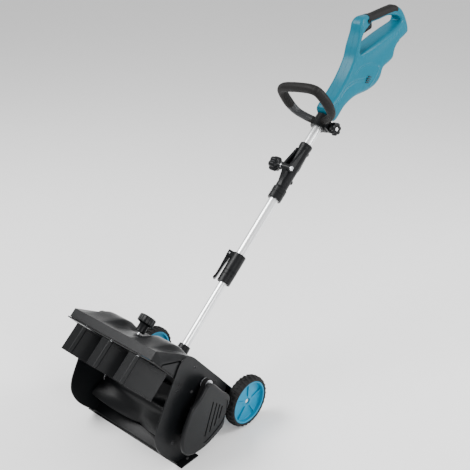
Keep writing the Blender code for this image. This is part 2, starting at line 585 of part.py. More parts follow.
def loop_handle():
    """The front loop: a round bar bent to a D, moulded onto the upper half of its clamp."""
    frame = turned_pole(LOOP_TURN)
    lean = 0.10
    half = [(0.0150, 0.0060), (0.0400, 0.0190), (0.0620, 0.0370), (0.0710, 0.0600), (0.0720, 0.0900),
            (0.0660, 0.1170), (0.0480, 0.1280), (0.0160, 0.1310)]
    path = [(-a, b) for a, b in half] + half[::-1]
    path = spline(path, 2, closed=False)
    rings = []
    for i, (a, b) in enumerate(path):
        before, after = Vector(path[max(i - 1, 0)]), Vector(path[min(i + 1, len(path) - 1)])
        run = (after - before).normalized()
        radius = 0.0105 + 0.0025 * min(1, max(0, (b - 0.03) / 0.04))
        ring = []
        for k in range(10):
            t = tau * k / 10
            across, along = radius * cos(t), radius * sin(t)
            ring.append(frame(a - run.y * across, LOOP_S + lean * b + along, b + run.x * across))
        rings.append(ring)
    bar = loft("loop_handle", rings, "grip_rubber")
    low, high = LOOP_S - 0.0185, LOOP_S + 0.0185

    def half_ring(radius, start, end):
        return circle((0, 0), radius, 13, start, end) + circle((0, 0), 0.0126, 13, start, end)[::-1]

    ends = (low, high)
    upper = [[frame(a, s, b) for a, b in half_ring(0.0202, radians(2), radians(178))] for s in ends]
    lower = [[frame(a, s, b) for a, b in half_ring(0.0190, radians(182), radians(358))] for s in ends]
    fuse(bar, loft("half", upper, "black_plastic"))
    below = block(frame, (-0.0193, 0.0193), (low - 0.01, high + 0.01), (-0.03, GAP))
    cut(bar, below, rod(TUBE_R + GAP, pole(0, 0.30, 0), pole(0, 0.40, 0), 24))
    for x in (-0.0254, 0.0194):
        fuse(bar, block(frame, (x, x + 0.0060), (LOOP_S - 0.012, LOOP_S + 0.012), (-0.0260, 0.0060)))
    cap = loft("loop_clamp", lower, "black_plastic")
    fuse(cap, block(frame, (-0.0150, 0.0150), (LOOP_S - 0.012, LOOP_S + 0.012), (-0.0270, -0.0140)))
    hole = (frame(-0.06, LOOP_S, -0.0215), frame(0.06, LOOP_S, -0.0215))
    cut(bar, rod(0.0033, *hole))
    cut(cap, rod(0.0033, *hole), rod(TUBE_R + GAP, pole(0, 0.30, 0), pole(0, 0.40, 0), 24))
    way = (hole[1] - hole[0]).normalized()
    middle = frame(0, LOOP_S, -0.0215)
    bolt = [(0.0070, -0.0310), (0.0070, -0.0257), (0.0030, -0.0257), (0.0030, 0.0390)]
    turned("loop_bolt", bolt, middle, way, "steel", 12)
    star("loop_knob", middle, way, 0.0258, 0.0455, 0.0180, 7)


# ---- rear handle --------------------------------------------------------------------------------
def grip_edge(t, way):
    """A point on the grip's outer (+1) or hole (-1) edge, t along it, with its half width and rounding."""
    middle = GRIP_MIDDLE + t * GRIP_ALONG + way * GRIP_R * GRIP_ACROSS
    return (middle.x, middle.y, GRIP_R, 0.9 * GRIP_R)


# Each row is a point of an edge (s, h), the half width there and the rounding of the edge.
REAR_EDGE = [
    (0.3720, 0.0235, 0.0235, 0.010), (0.4200, 0.0245, 0.0238, 0.010), (0.4750, 0.0270, 0.0230, 0.009),
    (0.5280, 0.0400, 0.0215, 0.007), (0.5600, 0.0600, 0.0205, 0.005), (0.5920, 0.0800, 0.0195, 0.008),
    (0.6080, 0.0940, 0.0190, 0.009), (0.6260, 0.0965, 0.0175, 0.010), (0.6430, 0.0870, 0.0150, 0.010),
    grip_edge(-0.0480, 1), grip_edge(-0.0100, 1), grip_edge(0.0430, 1), (0.7620, -0.0050, 0.0145, 0.009),
    (0.7750, -0.0350, 0.0170, 0.009), (0.7710, -0.0780, 0.0210, 0.010), (0.7570, -0.1010, 0.0240, 0.010),
    (0.7350, -0.0970, 0.0265, 0.011), (0.7050, -0.0850, 0.0290, 0.012), (0.6780, -0.0840, 0.0305, 0.012),
    (0.6550, -0.0970, 0.0310, 0.012), (0.6320, -0.0920, 0.0310, 0.012), (0.6050, -0.0820, 0.0310, 0.012),
    (0.5820, -0.0930, 0.0305, 0.012), (0.5550, -0.0935, 0.0295, 0.012), (0.5200, -0.0780, 0.0280, 0.012),
    (0.4700, -0.0430, 0.0260, 0.012), (0.4250, -0.0265, 0.0245, 0.010), (0.3720, -0.0235, 0.0235, 0.010)]
HOLE_EDGE = [
    (0.5580, 0.0320, 0.0215, 0.005), (0.5690, 0.0460, 0.0205, 0.005), (0.5850, 0.0550, 0.0195, 0.008),
    (0.5980, 0.0600, 0.0190, 0.009), (0.6140, 0.0600, 0.0175, 0.010), (0.6280, 0.0545, 0.0150, 0.010),
    grip_edge(-0.0480, -1), grip_edge(-0.0100, -1), grip_edge(0.0350, -1), (0.7450, -0.0270, 0.0150, 0.009),
    (0.7520, -0.0420, 0.0180, 0.009), (0.7460, -0.0510, 0.0225, 0.010), (0.7050, -0.0340, 0.0290, 0.012),
    (0.6650, -0.0150, 0.0300, 0.012), (0.6250, 0.0030, 0.0295, 0.012), (0.5920, 0.0175, 0.0270, 0.010)]


def rear_half(side, word):
    """One half of the rear casing: a hollow moulding with a hand hole, open where the halves meet."""
    wall = 0.0022
    edges = [(spline(REAR_EDGE[::-1], 2), 1), (spline(HOLE_EDGE[::-1], 2), -1)]
    points, faces, walls = [], [], []
    for fine, way in edges:
        line = [(r[0], r[1]) for r in fine]
        for extra in (0, wall):
            levels = []
            for bend in (None, 0, 45, 90):
                ring = []
                for i, r in enumerate(fine):
                    curve = r[3] - extra
                    turn = radians(bend or 0)
                    moved = extra + curve * (1 - cos(turn))
                    x = GAP / 2 if bend is None else r[2] - extra - curve * (1 - sin(turn))
                    ring.append((x, *inset(line, way * moved)[i]))
                levels.append(range(len(points), len(points) + len(ring)))
                points += ring
            walls.append(levels)
            for low, high in zip(levels, levels[1:]):
                faces += strip(low, high)
    for outer, inner in ((walls[0], walls[1]), (walls[2], walls[3])):
        faces += strip(outer[0], inner[0])
    for edge, hole in ((walls[0], walls[2]), (walls[1], walls[3])):
        loops = [[Vector(points[i][1:]).to_3d() for i in ring[-1]] for ring in (edge, hole)]
        indices = list(edge[-1]) + list(hole[-1])
        faces += [tuple(indices[i] for i in face) for face in tessellate_polygon(loops)]
    made = solid("rear_case_" + word, [pole(side * x, a, b) for x, a, b in points], faces, "blue_plastic")
    slot = [(0.600, 0.040), (0.650, 0.028), (0.663, 0.052), (0.640, 0.064), (0.610, 0.070)]
    cutters = [rail_block("seat", GAP),
               rod(TUBE_R + GAP, pole(0, 0.36, 0), pole(0, 0.380, 0), 24),
               prism("slot", slot, pole, -TRIGGER_HALF - 0.0005, TRIGGER_HALF + 0.0005, "black_plastic")]
    if side > 0:
        cutters.append(rod(0.0048, pole(0.002, *BUTTON), pole(0.03, *BUTTON)))
    return cut(made, *cutters)


def rail_block(name, extra):
    """The battery rail's block, or the seat it needs when grown by a clearance."""
    front, rear = RAIL_S[0] - extra, RAIL_S[1] + extra
    outline = [(front, -0.0828 + extra), (rear, -0.0900 + extra), (rear, -0.1000), (front, -0.0950)]
    return prism(name, outline, pole, -RAIL_HALF - extra, RAIL_HALF + extra, "black_plastic")


def strip(low, high):
    """The quads between two rings of point numbers."""
    return [(low[i - 1], low[i], high[i], high[i - 1]) for i in range(len(low))]


def rear_handle():
    tube("upper_tube", TUBE_R, TUBE_BORE, 0.1960, 0.4250, pole(0, 0, 0), UP_POLE, "aluminium")
    for side, word in ((-1, "left"), (1, "right")):
        rear_half(side, word)
    rings = []
    for t in (-0.0400, -0.0385, -0.0100, 0.0150, 0.0370, 0.0385):
        middle = GRIP_MIDDLE + t * GRIP_ALONG
        end = 0.0006 if abs(t) > 0.038 else 0.0
        ring = []
        for radius, order in ((0.0150 - end, 1), (GRIP_R + 0.0010, -1)):
            arc = [radians(-20 + 220 * k / 14) for k in range(15)][::order]
            for a in arc:
                place = middle + radius * sin(a) * GRIP_ACROSS
                ring.append(pole(radius * cos(a), place.x, place.y))
        rings.append(ring)
    loft("grip_pad", rings, "grip_rubber")
    shape = [(0.6110, 0.0560), (0.6160, 0.0480), (0.6300, 0.0410), (0.6430, 0.0340), (0.6500, 0.0350),
             (0.6560, 0.0455), (0.6600, 0.0500), (0.6575, 0.0550), (0.6500, 0.0560), (0.6200, 0.0640)]
    pivot = pole(0, *TRIGGER_PIVOT)
    trigger = prism("trigger", shape, pole, -TRIGGER_HALF, TRIGGER_HALF, "black_plastic", origin=pivot)
    cut(trigger, rod(0.0018, pole(-0.02, *TRIGGER_PIVOT), pole(0.02, *TRIGGER_PIVOT), 12))
    rod(0.0015, pole(-0.0070, *TRIGGER_PIVOT), pole(0.0070, *TRIGGER_PIVOT), 12, name="trigger_pin")
    cap = [(0.0030, 0), (0.0030, 0.004), (0.0044, 0.004), (0.0044, 0.0108), (0.0036, 0.0116)]
    button = pole(0.0060, *BUTTON)
    turned("lock_button", cap, button, ALONG_X, "black_plastic", 20, origin=button)
    block(pole, (-0.0070, 0.0070), (0.6040, 0.6180), (0.0740, 0.0840)).name = "switch_module"
    block(pole, (-0.0190, 0.0190), (0.5000, 0.6000), (-0.0420, -0.0390)).name = "control_board"
    rail_block("battery_terminal", 0)


head_shell()
rotor()
drive()
for index, place_x in enumerate(vane_places()):
    vane(index + 1, place_x)
vane_drive()
wheels()
lower_pole()
hinge()
loop_handle()
rear_handle()
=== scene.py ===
# %% [markdown]
# # A cordless snow blower, finished over its engineering frame
# The machine is a small snow scoop on two wheels. A rotor in the scoop throws snow up a chute, three vanes
# under the hood steer it, and a folding telescopic pole leads up to a loop handle and a rear trigger handle.
# The frame holds the joints and the plain solids. This file lays the moulded, rounded and textured pieces
# over it, one by one, and every piece rides on the body it belongs to.

import json
from math import cos, exp, hypot, pi, radians, sin, tau

import bmesh
import bpy
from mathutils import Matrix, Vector
from mathutils.geometry import delaunay_2d_cdt

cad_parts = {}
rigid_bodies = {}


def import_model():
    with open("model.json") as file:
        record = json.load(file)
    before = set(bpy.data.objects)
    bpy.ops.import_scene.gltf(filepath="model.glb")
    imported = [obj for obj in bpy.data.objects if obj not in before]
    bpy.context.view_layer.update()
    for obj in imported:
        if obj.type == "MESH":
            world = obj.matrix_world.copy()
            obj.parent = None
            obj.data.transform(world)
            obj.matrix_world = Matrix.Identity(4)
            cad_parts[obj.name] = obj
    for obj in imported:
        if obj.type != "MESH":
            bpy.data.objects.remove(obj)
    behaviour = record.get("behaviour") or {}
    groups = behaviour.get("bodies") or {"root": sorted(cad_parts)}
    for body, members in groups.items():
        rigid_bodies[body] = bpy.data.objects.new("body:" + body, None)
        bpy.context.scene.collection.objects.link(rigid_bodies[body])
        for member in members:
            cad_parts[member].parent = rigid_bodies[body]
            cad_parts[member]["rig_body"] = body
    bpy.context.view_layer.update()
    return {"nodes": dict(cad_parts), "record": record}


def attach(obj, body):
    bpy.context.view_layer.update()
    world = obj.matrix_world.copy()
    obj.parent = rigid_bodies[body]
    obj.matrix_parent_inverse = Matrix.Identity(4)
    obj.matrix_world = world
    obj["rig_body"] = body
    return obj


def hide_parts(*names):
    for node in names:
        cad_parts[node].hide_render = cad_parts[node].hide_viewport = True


for old in list(bpy.data.objects):
    bpy.data.objects.remove(old, do_unlink=True)
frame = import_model()

# %% [markdown]
# ## Places
# Three measuring frames keep the numbers readable. `at` works from the scraper's front edge and the floor.
# `chute` follows the snow chute, which leans back at the pole's angle. `pole` runs along the pole, so
# everything on it is given by its distance along and above it, and `turned_pole` turns that about the pole.

# %% Measuring frames
GAP = 0.0003
EDGE_Y = -0.028
TILT = radians(39.7)
UP_POLE = Vector((0, cos(TILT), sin(TILT)))
OVER = Vector((0, -sin(TILT), cos(TILT)))
ALONG_X = Vector((1, 0, 0))
LIP_BACK, LIP_UP = -0.048, 0.308
POLE_BACK, POLE_UP = 0.4517, 0.3891


def mm(*points):
    """Outline points written in millimetres, as metres."""
    return [tuple(value / 1000 for value in point) for point in points]


def at(x, back, up):
    return Vector((x, EDGE_Y + back, up))


def chute(x, u, v):
    return at(x, LIP_BACK, LIP_UP) + u * OVER + v * UP_POLE


def pole(x, s, h):
    return at(x, POLE_BACK, POLE_UP) + s * UP_POLE + h * OVER


def turned_pole(turn):
    def place(x, s, h):
        return pole(x * cos(turn) - h * sin(turn), s, x * sin(turn) + h * cos(turn))
    return place


FOOT = pole(0, 0, 0)
print("pole foot:", [round(c, 4) for c in FOOT])

# %% [markdown]
# ## Finishes
# Most of the machine is injection-moulded plastic with a fine spark-eroded grain. Handling polishes the
# edges and leaves the colour a little uneven. One recipe covers all of it: fine noise for the grain, broad
# noise for patches in colour and gloss, and the mesh's own edges for lighter places, which are partly rubbed
# wear and partly a painted highlight on ridges and creases. Metals get the same recipe with drawn lines in
# place of the grain. An image would also work, but a procedural finish stays sharp at any distance and
# needs no unwrapping.

# %% A recipe for grained surfaces, with worn edges that also carry a painted highlight
EDGE_WEAR_AND_SHEEN = (0.505, 0.6)            # how convex an edge is before it starts to lighten, and fully lightened: partly rubbed wear, partly painted highlight


def add_node(tree, kind, sockets=(), **settings):
    """A shader node with its settings. Each named socket takes a constant or another node's output."""
    node = tree.nodes.new(kind)
    for key, setting in settings.items():
        setattr(node, key, setting)
    return feed(tree, node, dict(sockets))


def feed(tree, node, sockets):
    for key, source in sockets.items():
        if isinstance(source, bpy.types.NodeSocket):
            tree.links.new(source, node.inputs[key])
        else:
            node.inputs[key].default_value = source
    return node


def grained(name, colour, roughness, grain=0.0004, size=1400, edge_wear_sheen=0.25, patch=0.12, metallic=0.0,
            stretch=None, shine=0.3):
    """A Principled finish with grain, patchy gloss and colour, and lighter edges that are partly rubbed wear
    and partly painted highlight.
    """
    def tint(scale, lift=0.0):
        return (*[min(1, lift + c * scale) for c in colour], 1)

    made = bpy.data.materials.new(name)
    made.use_nodes = True
    tree = made.node_tree
    place = add_node(tree, "ShaderNodeTexCoord").outputs["Object"]
    drawn = {"Rotation": (-TILT, 0, 0), "Scale": stretch} if stretch else {}
    turn = add_node(tree, "ShaderNodeMapping", {"Vector": place, **drawn}).outputs["Vector"]
    fine = add_node(tree, "ShaderNodeTexNoise", {"Vector": turn, "Scale": size, "Detail": 3}).outputs["Fac"]
    broad = add_node(tree, "ShaderNodeTexNoise", {"Vector": place, "Scale": 22, "Detail": 5}).outputs["Fac"]
    gloss = add_node(tree, "ShaderNodeMapRange", {
        "Value": broad, "To Min": max(0.05, roughness - patch), "To Max": min(1.0, roughness + patch)})
    shade = add_node(tree, "ShaderNodeMix", {"A": tint(1 - patch), "B": tint(1 + patch), "Factor": broad},
                     data_type="RGBA")
    # Lighter colour on convex edges: partly rubbed wear, partly a painted highlight along ridges and creases.
    rubbed_and_sheen = add_node(tree, "ShaderNodeMapRange", {
        "From Min": EDGE_WEAR_AND_SHEEN[0], "From Max": EDGE_WEAR_AND_SHEEN[1], "To Max": edge_wear_sheen,
        "Value": add_node(tree, "ShaderNodeNewGeometry").outputs["Pointiness"]})
    worn_and_sheen = add_node(tree, "ShaderNodeMix", {"A": shade.outputs["Result"], "B": tint(1.5, 0.05),
                                            "Factor": rubbed_and_sheen.outputs["Result"]}, data_type="RGBA")
    bump = add_node(tree, "ShaderNodeBump", {"Strength": 0.35, "Distance": grain, "Height": fine})
    feed(tree, tree.nodes["Principled BSDF"], {
        "Metallic": metallic, "Specular IOR Level": shine, "Roughness": gloss.outputs["Result"],
        "Base Color": worn_and_sheen.outputs["Result"], "Normal": bump.outputs["Normal"]})
    return made


# %% The seven finishes and a few small ones
FINISH = {
    "black_plastic": grained("black_plastic", (0.003, 0.0034, 0.004), 0.32, edge_wear_sheen=0.05, shine=0.15),
    "blue_plastic": grained("blue_plastic", (0.0, 0.105, 0.16), 0.34, edge_wear_sheen=0.03, patch=0.06, shine=0.16),
    "wheel_blue": grained("wheel_blue", (0.0, 0.17, 0.3), 0.34, edge_wear_sheen=0.05, patch=0.06, shine=0.16),
    "tyre_rubber": grained("tyre_rubber", (0.005, 0.005, 0.0052), 0.66, grain=0.0006, size=700, edge_wear_sheen=0.15,
                           shine=0.14),
    "grip_rubber": grained("grip_rubber", (0.007, 0.0066, 0.0064), 0.55, grain=0.0007, size=900, edge_wear_sheen=0.08,
                           shine=0.14),
    "aluminium": grained("aluminium", (0.86, 0.87, 0.88), 0.3, grain=0.0001, size=60, edge_wear_sheen=0.0, patch=0.06,
                         metallic=0.85, stretch=(30, 0.6, 30)),
    "steel": grained("steel", (0.6, 0.61, 0.63), 0.32, grain=0.0002, size=500, metallic=1.0),
}
PALE = grained("pale_cap", (0.55, 0.56, 0.57), 0.45, patch=0.05)
# A lighter grey laid on part of the black loop handle: a painted highlight, not a grey part.
LOOP_HIGHLIGHT_GREY = grained("painted_highlight_arm", (0.018, 0.019, 0.021), 0.42, grain=0.0012, size=420, edge_wear_sheen=0.2)
# Near-black for the casing's vent slots: painted shade standing in for their shadowed insides.
VENT_SHADE = grained("painted_vent_shade", (0.006, 0.006, 0.007), 0.75)
BLACKED = grained("blacked_screw", (0.02, 0.02, 0.021), 0.45, grain=0.0002, size=500, metallic=1.0)
print("finishes:", sorted(FINISH))

# %% [markdown]
# ## Building tools
# Nearly every piece is one of three kinds: an outline pushed along X, a profile turned about an axis, or a
# row of rings joined like a hose. All three come down to joining rings of points, so one small loft does the
# work. Piece by piece modelling by hand would be slower to change, because here a size is one number.

# %% Solids from rings
SLOT = {row["node"]: row["material_slot"] for row in frame["record"]["subparts"]}
BEVEL = 0.0005


def solid(name, points, faces, finish, sharp=34):
    """A mesh object with outward faces, smooth but for its sharper edges."""
    shape = bmesh.new()
    verts = [shape.verts.new(p) for p in points]
    for face in faces:
        shape.faces.new([verts[i] for i in face])
    bmesh.ops.recalc_face_normals(shape, faces=shape.faces[:])
    mesh = bpy.data.meshes.new(name)
    shape.to_mesh(mesh)
    shape.free()
    mesh.shade_smooth()
    mesh.set_sharp_from_angle(angle=radians(sharp))
    made = bpy.data.objects.new(name, mesh)
    made["sharp"] = sharp
    mesh.materials.append(FINISH.get(finish, finish))
    bpy.context.scene.collection.objects.link(made)
    return made


def loft(name, rings, finish="black_plastic", loop=False):
    count = len(rings[0])
    points = [p for ring in rings for p in ring]
    faces = []
    for r in range(len(rings) if loop else len(rings) - 1):
        low, high = r * count, ((r + 1) % len(rings)) * count
        for i in range(count):
            j = (i + 1) % count
            faces.append((low + i, low + j, high + j, high + i))
    if not loop:
        faces.append(tuple(range(count)))
        faces.append(tuple(range(len(points) - count, len(points))))
    return solid(name, points, faces, finish)


def prism(name, outline, place, low, high, finish="black_plastic"):
    return loft(name, [[place(x, a, b) for a, b in outline] for x in (low, high)], finish)


def circle(centre, radius, count=32, start=0.0, end=tau):
    whole = abs(end - start - tau) < 1e-6
    steps = count if whole else count - 1
    return [(centre[0] + radius * cos(start + (end - start) * i / steps),
             centre[1] + radius * sin(start + (end - start) * i / steps)) for i in range(count)]


def turned(name, profile, centre, axis, finish="black_plastic", steps=56, loop=False):
    """Turns (radius, distance along the axis) points about an axis. A loop profile leaves a bore."""
    axis = axis.normalized()
    side = axis.orthogonal().normalized()
    other = axis.cross(side)
    rings = []
    for radius, along in profile:
        middle = centre + along * axis
        rings.append([middle + radius * (cos(tau * i / steps) * side + sin(tau * i / steps) * other)
                      for i in range(steps)])
    return loft(name, rings, finish, loop=loop)


def tube(name, outer, bore, start, end, centre, axis, finish, lip=0.0004):
    profile = [(outer - lip, start), (outer, start + lip), (outer, end - lip), (outer - lip, end),
               (bore, end), (bore, start)]
    return turned(name, profile, centre, axis, finish, loop=True)


def rod(radius, start, end, finish="steel", name="rod", steps=28):
    return turned(name, [(radius, 0), (radius, (end - start).length)], start, end - start, finish, steps)


def block(place, xs, ss, hs, finish="black_plastic", name="block"):
    outline = [(ss[0], hs[0]), (ss[1], hs[0]), (ss[1], hs[1]), (ss[0], hs[1])]
    return prism(name, outline, place, xs[0], xs[1], finish)


# %% Joining and cutting
def carve(target, others, operation):
    for other in others:
        change = target.modifiers.new("change", "BOOLEAN")
        change.operation, change.solver, change.object = operation, "EXACT", other
        change.material_mode = "TRANSFER"
        bpy.context.view_layer.update()
        sight = bpy.context.evaluated_depsgraph_get()
        mesh = bpy.data.meshes.new_from_object(target.evaluated_get(sight))
        target.modifiers.clear()
        target.data = mesh
        bpy.data.objects.remove(other, do_unlink=True)
    target.data.set_sharp_from_angle(angle=radians(target.get("sharp", 34)))
    return target


def fuse(target, *others):
    return carve(target, others, "UNION")


def cut(target, *others):
    return carve(target, others, "DIFFERENCE")


# %% Curves and outlines
def inset(outline, distance):
    """Moves a closed counter-clockwise outline inwards by a distance."""
    moved = []
    for i, (a, b) in enumerate(outline):
        first = (Vector((a, b)) - Vector(outline[i - 1])).normalized()
        second = (Vector(outline[(i + 1) % len(outline)]) - Vector((a, b))).normalized()
        inward = Vector((-(first + second).y, (first + second).x)).normalized()
        mitre = max(0.6, inward.dot(Vector((-first.y, first.x))))
        moved.append((a + inward.x * distance / mitre, b + inward.y * distance / mitre))
    return moved


def spline(points, per_span, closed=True):
    """A Catmull-Rom curve through points of any size, as plain tuples."""
    count, found = len(points), []
    for i in range(count if closed else count - 1):
        if closed:
            p0, p1, p2, p3 = (points[(i + k) % count] for k in (-1, 0, 1, 2))
        else:
            p0, p1, p2, p3 = (points[min(max(i + k, 0), count - 1)] for k in (-1, 0, 1, 2))
        for k in range(per_span):
            t = k / per_span
            found.append(tuple(
                0.5 * (2 * b + (c - a) * t + (2 * a - 5 * b + 4 * c - d) * t * t
                       + (3 * b - a - 3 * c + d) * t ** 3)
                for a, b, c, d in zip(p0, p1, p2, p3)))
    return found if closed else found + [tuple(points[-1])]


def bar_between(start, end, half, low, high, finish="steel"):
    """A flat round-ended link lying across the pole's direction."""
    run = (end - start).normalized()
    side = run.cross(UP_POLE)
    ring = [c + half * (cos(a) * run + sin(a) * side) for c, turn in ((end, 0), (start, pi))
            for a in (turn - pi / 2 + pi * k / 12 for k in range(13))]
    return loft("link", [[p + v * UP_POLE for p in ring] for v in (low, high)], finish)


# %% [markdown]
# Moulded and machined edges are never razor sharp. A narrow bevel on each piece catches the light and is
# what makes a corner read as real. `finish` adds it, puts the piece on its body and stands it in for the
# solid it covers.

# %% Placing a finished piece
def finish(made, *nodes, bevel=BEVEL, slot=None, body=None):
    """Bevels a piece, rides it on its nodes' body and shows it in place of those nodes."""
    if bevel:
        edge = made.modifiers.new("edge", "BEVEL")
        edge.width, edge.segments = bevel, 2
        edge.limit_method, edge.angle_limit = "ANGLE", radians(38)
        edge.use_clamp_overlap, edge.harden_normals = True, True
        edge.miter_outer = "MITER_ARC"
    name = nodes[0] + "_finished" if nodes else made.name
    made.name = made.data.name = name
    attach(made, body or frame["nodes"][nodes[0]]["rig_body"])
    if nodes:
        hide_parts(*nodes)
    slot or SLOT[nodes[0]]
    return made


def screw(name, centre, axis, radius, body, depth=0.0012):
    """A pan-head screw with a cross recess, sunk a little into its piece."""
    profile = [(radius, -0.002), (radius, 0.0), (0.8 * radius, 0.35 * depth), (0.4 * radius, 0.5 * depth)]
    head = turned(name, profile, centre, axis, BLACKED, 20)
    side = axis.orthogonal().normalized()
    wide, deep = 0.16 * radius, 0.6 * radius
    for way in (side, axis.cross(side)):
        other = axis.cross(way)
        corners = ((-deep, -wide), (deep, -wide), (deep, wide), (-deep, wide))
        ring = [centre + a * way + b * other for a, b in corners]
        cut(head, loft("cross", [[p + k * axis for p in ring] for k in (-0.0008, 0.002)]))
    return finish(head, bevel=0, slot="steel", body=body)


# %% [markdown]
# ## The scoop's cheeks
# Each end of the scoop is a flat cheek under a deep moulded cover. The cover's edge is rounded by
# 20 mm, so the mouth looks soft from the front. A tray is the natural way to make it: one outline, set
# inwards again and again while it drops over a quarter circle. The right cover hides the belt drive.

# %% Side covers
CHAMBER_HALF, PLATE, CASE_OUT, POD_OUT = 0.1434, 0.003, 0.172, 0.181
CASE_ROUND = 0.02
ROTOR_BACK, ROTOR_UP = 0.052, 0.08
CHEEK = mm((4, 5.8), (48, 6.4), (96, 20.5), (130, 33), (148, 46), (150, 65), (156, 90), (172, 118),
           (166.5, 142), (126, 192.2), (94, 230.6), (67, 262), (47, 273), (25, 264), (8, 238), (-18, 195),
           (-40, 156), (-54, 128), (-58.5, 99), (-50, 70), (-34, 44), (-12, 20))
POD = mm((20, 34), (60, 30), (100, 40), (128, 54), (136, 82), (149, 108), (150, 128), (128, 152),
         (102, 184), (78, 196), (52, 174), (26, 158), (10, 134), (-5, 105), (-10, 78), (-2, 50))


def tray(name, outline, side, inner, outer, round_r, finish_name="black_plastic", flat=()):
    """A cover with a rounded edge. `flat` adds (distance in, drop) steps across its outer face."""
    turns = [radians(k) for k in range(0, 91, 10)]
    steps = [(0.0012, outer - inner), (0, outer - inner - 0.0006)]
    steps += [(round_r * (1 - cos(k)), round_r * (1 - sin(k))) for k in turns] + list(flat)
    rings = [[at(side * (outer - drop), a, b) for a, b in inset(outline, distance)]
             for distance, drop in steps]
    return loft(name, rings, finish_name)


def channel(outline, side, face, depth, width):
    """A cutter for a groove that follows an outline's outside."""
    ring = prism("ring", inset(outline, -width), at, side * (face - depth), side * (face + 0.01))
    return cut(ring, prism("core", outline, at, side * (face - depth - 0.01), side * (face + 0.02)))


def slot_cutter(side, face, start, end, half, depth):
    """A round-ended slot cutter between two (back, up) points."""
    run = (Vector(end) - Vector(start)).normalized()
    turn = -Vector((1, 0)).angle_signed(run)
    ring = circle(end, half, 9, turn - pi / 2, turn + pi / 2)
    ring += circle(start, half, 9, turn + pi / 2, turn + 1.5 * pi)
    return prism("slot", ring, at, side * (face - depth), side * (face + 0.01))


fine_cheek, fine_pod = spline(CHEEK, 6), spline(POD, 6)
SCREW_PLACES = mm((36, 197), (-28, 94), (17, 22), (112, 183), (50, 254))
for side, word in ((-1, "left"), (1, "right")):
    cover = tray("case", fine_cheek, side, CHAMBER_HALF + PLATE + 2 * GAP, CASE_OUT, CASE_ROUND)
    cut(cover, channel(fine_pod, side, CASE_OUT, 0.0012, 0.0026))
    wells = [rod(0.005, at(side * (CASE_OUT - 0.0035), *p), at(side * 0.2, *p)) for p in SCREW_PLACES]
    cut(cover, *wells)
    finish(cover, "side_case_" + word)
    for number, place in enumerate(SCREW_PLACES):
        screw("case_screw_%s_%d" % (word, number + 1), at(side * (CASE_OUT - 0.003), *place), side * ALONG_X,
              0.0036, "head")
print("side covers:", len(fine_cheek), "points round each")

# %% [markdown]
# A smaller raised panel sits on each cover. Four cooling slots are pressed into it, fanning out from the
# bottom, inside a shallow three-cornered recess. Cutting them with Booleans keeps their walls crisp.

# %% Vented pods
RECESS = mm((58, 46), (112, 62), (133, 82), (141, 111), (136, 126), (94, 160), (82, 150), (64, 98))
SLOTS = [((0.064, 0.063), (0.094, 0.14)), ((0.08, 0.066), (0.105, 0.13)), ((0.096, 0.074), (0.115, 0.121)),
         ((0.112, 0.086), (0.123, 0.112))]
for side, word in ((-1, "left"), (1, "right")):
    pod = tray("pod", fine_pod, side, CASE_OUT + GAP, POD_OUT, 0.006)
    cut(pod, prism("recess", spline(RECESS, 5), at, side * (POD_OUT - 0.0012), side * (POD_OUT + 0.01)))
    cut(pod, *[slot_cutter(side, POD_OUT, low, high, 0.0019, 0.005) for low, high in SLOTS])
    finish(pod, "side_pod_" + word, bevel=0.0004)

# %% [markdown]
# The cheeks' inner plates and the scraper are plain pressings. The scraper is the replaceable wear strip, so
# its front edge is chamfered to slide under packed snow.

# %% Inner cheeks and scraper
MOTOR_U, MOTOR_V, MOTOR_R = -0.19, 0.028, 0.0245


def motor_place(x):
    return chute(x, MOTOR_U, MOTOR_V)


for side, word in ((-1, "left"), (1, "right")):
    inner, outer = side * (CHAMBER_HALF + GAP), side * (CHAMBER_HALF + GAP + PLATE)
    plate = prism("plate", fine_cheek, at, inner, outer)
    hole = (at(side * 0.12, ROTOR_BACK, ROTOR_UP), at(side * 0.16, ROTOR_BACK, ROTOR_UP))
    cut(plate, rod(0.0112, *hole))
    if side > 0:
        cut(plate, rod(0.005, motor_place(0.12), motor_place(0.16)))
    finish(plate, "end_plate_" + word)
    seat = at(side * (CHAMBER_HALF + GAP), ROTOR_BACK, ROTOR_UP)
    bearing = tube("bearing", 0.0109, 0.0053, 0, 0.007, seat, side * ALONG_X, "steel")
    seal = tube("seal", 0.0092, 0.006, -0.0004, 0.001, seat, side * ALONG_X, "tyre_rubber", lip=0.0001)
    fuse(bearing, seal)
    finish(bearing, "bearing_" + word, bevel=0)
blade = prism("blade", mm((0, 0), (56, 0), (56, 3), (6, 3)), at, -0.165, 0.165)
for x in (-0.13, -0.045, 0.045, 0.13):
    cut(blade, rod(0.0035, at(x, 0.04, 0.0018), at(x, 0.04, 0.01)))
finish(blade, "scraper_plate", bevel=0.0003)

# %% [markdown]
# ## Scoop, hood and back
# The scoop's wall is one long moulding: a sole, a scroll that wraps the rotor, and a straight chute. The hood
# above it ends in a flat lip band, and behind the lip two humps rise on either side of a valley that lets the
# vane knob sit low. The hood is a loft across the machine. Blending between sections with a smooth step
# gives the soft shoulders that moulded plastic has.

# %% Scoop wall
SCROLL_R, VANE_PITCH, VANE_U = 0.065, 0.087, -0.0141
VANE_X = (-VANE_PITCH, 0.0, VANE_PITCH)


def scroll(radius):
    return circle((ROTOR_BACK, ROTOR_UP), radius, 49, radians(-112), TILT)


lip_in, lip_out = chute(0, -0.004, -PLATE - GAP), chute(0, -0.004, -GAP)
inner_wall = [(0.003, 0.0068), (0.018, 0.0128)] + scroll(SCROLL_R) + [(lip_in.y - EDGE_Y, lip_in.z)]
outer_wall = [(0.003, 0.0036), (0.019, 0.0092)] + scroll(SCROLL_R + PLATE) + [(lip_out.y - EDGE_Y, lip_out.z)]
wall = prism("wall", inner_wall + outer_wall[::-1], at, -CHAMBER_HALF, CHAMBER_HALF)
cut(wall, *[rod(0.0034, chute(x, VANE_U, -0.02), chute(x, VANE_U, 0.02)) for x in VANE_X])
finish(wall, "scoop")

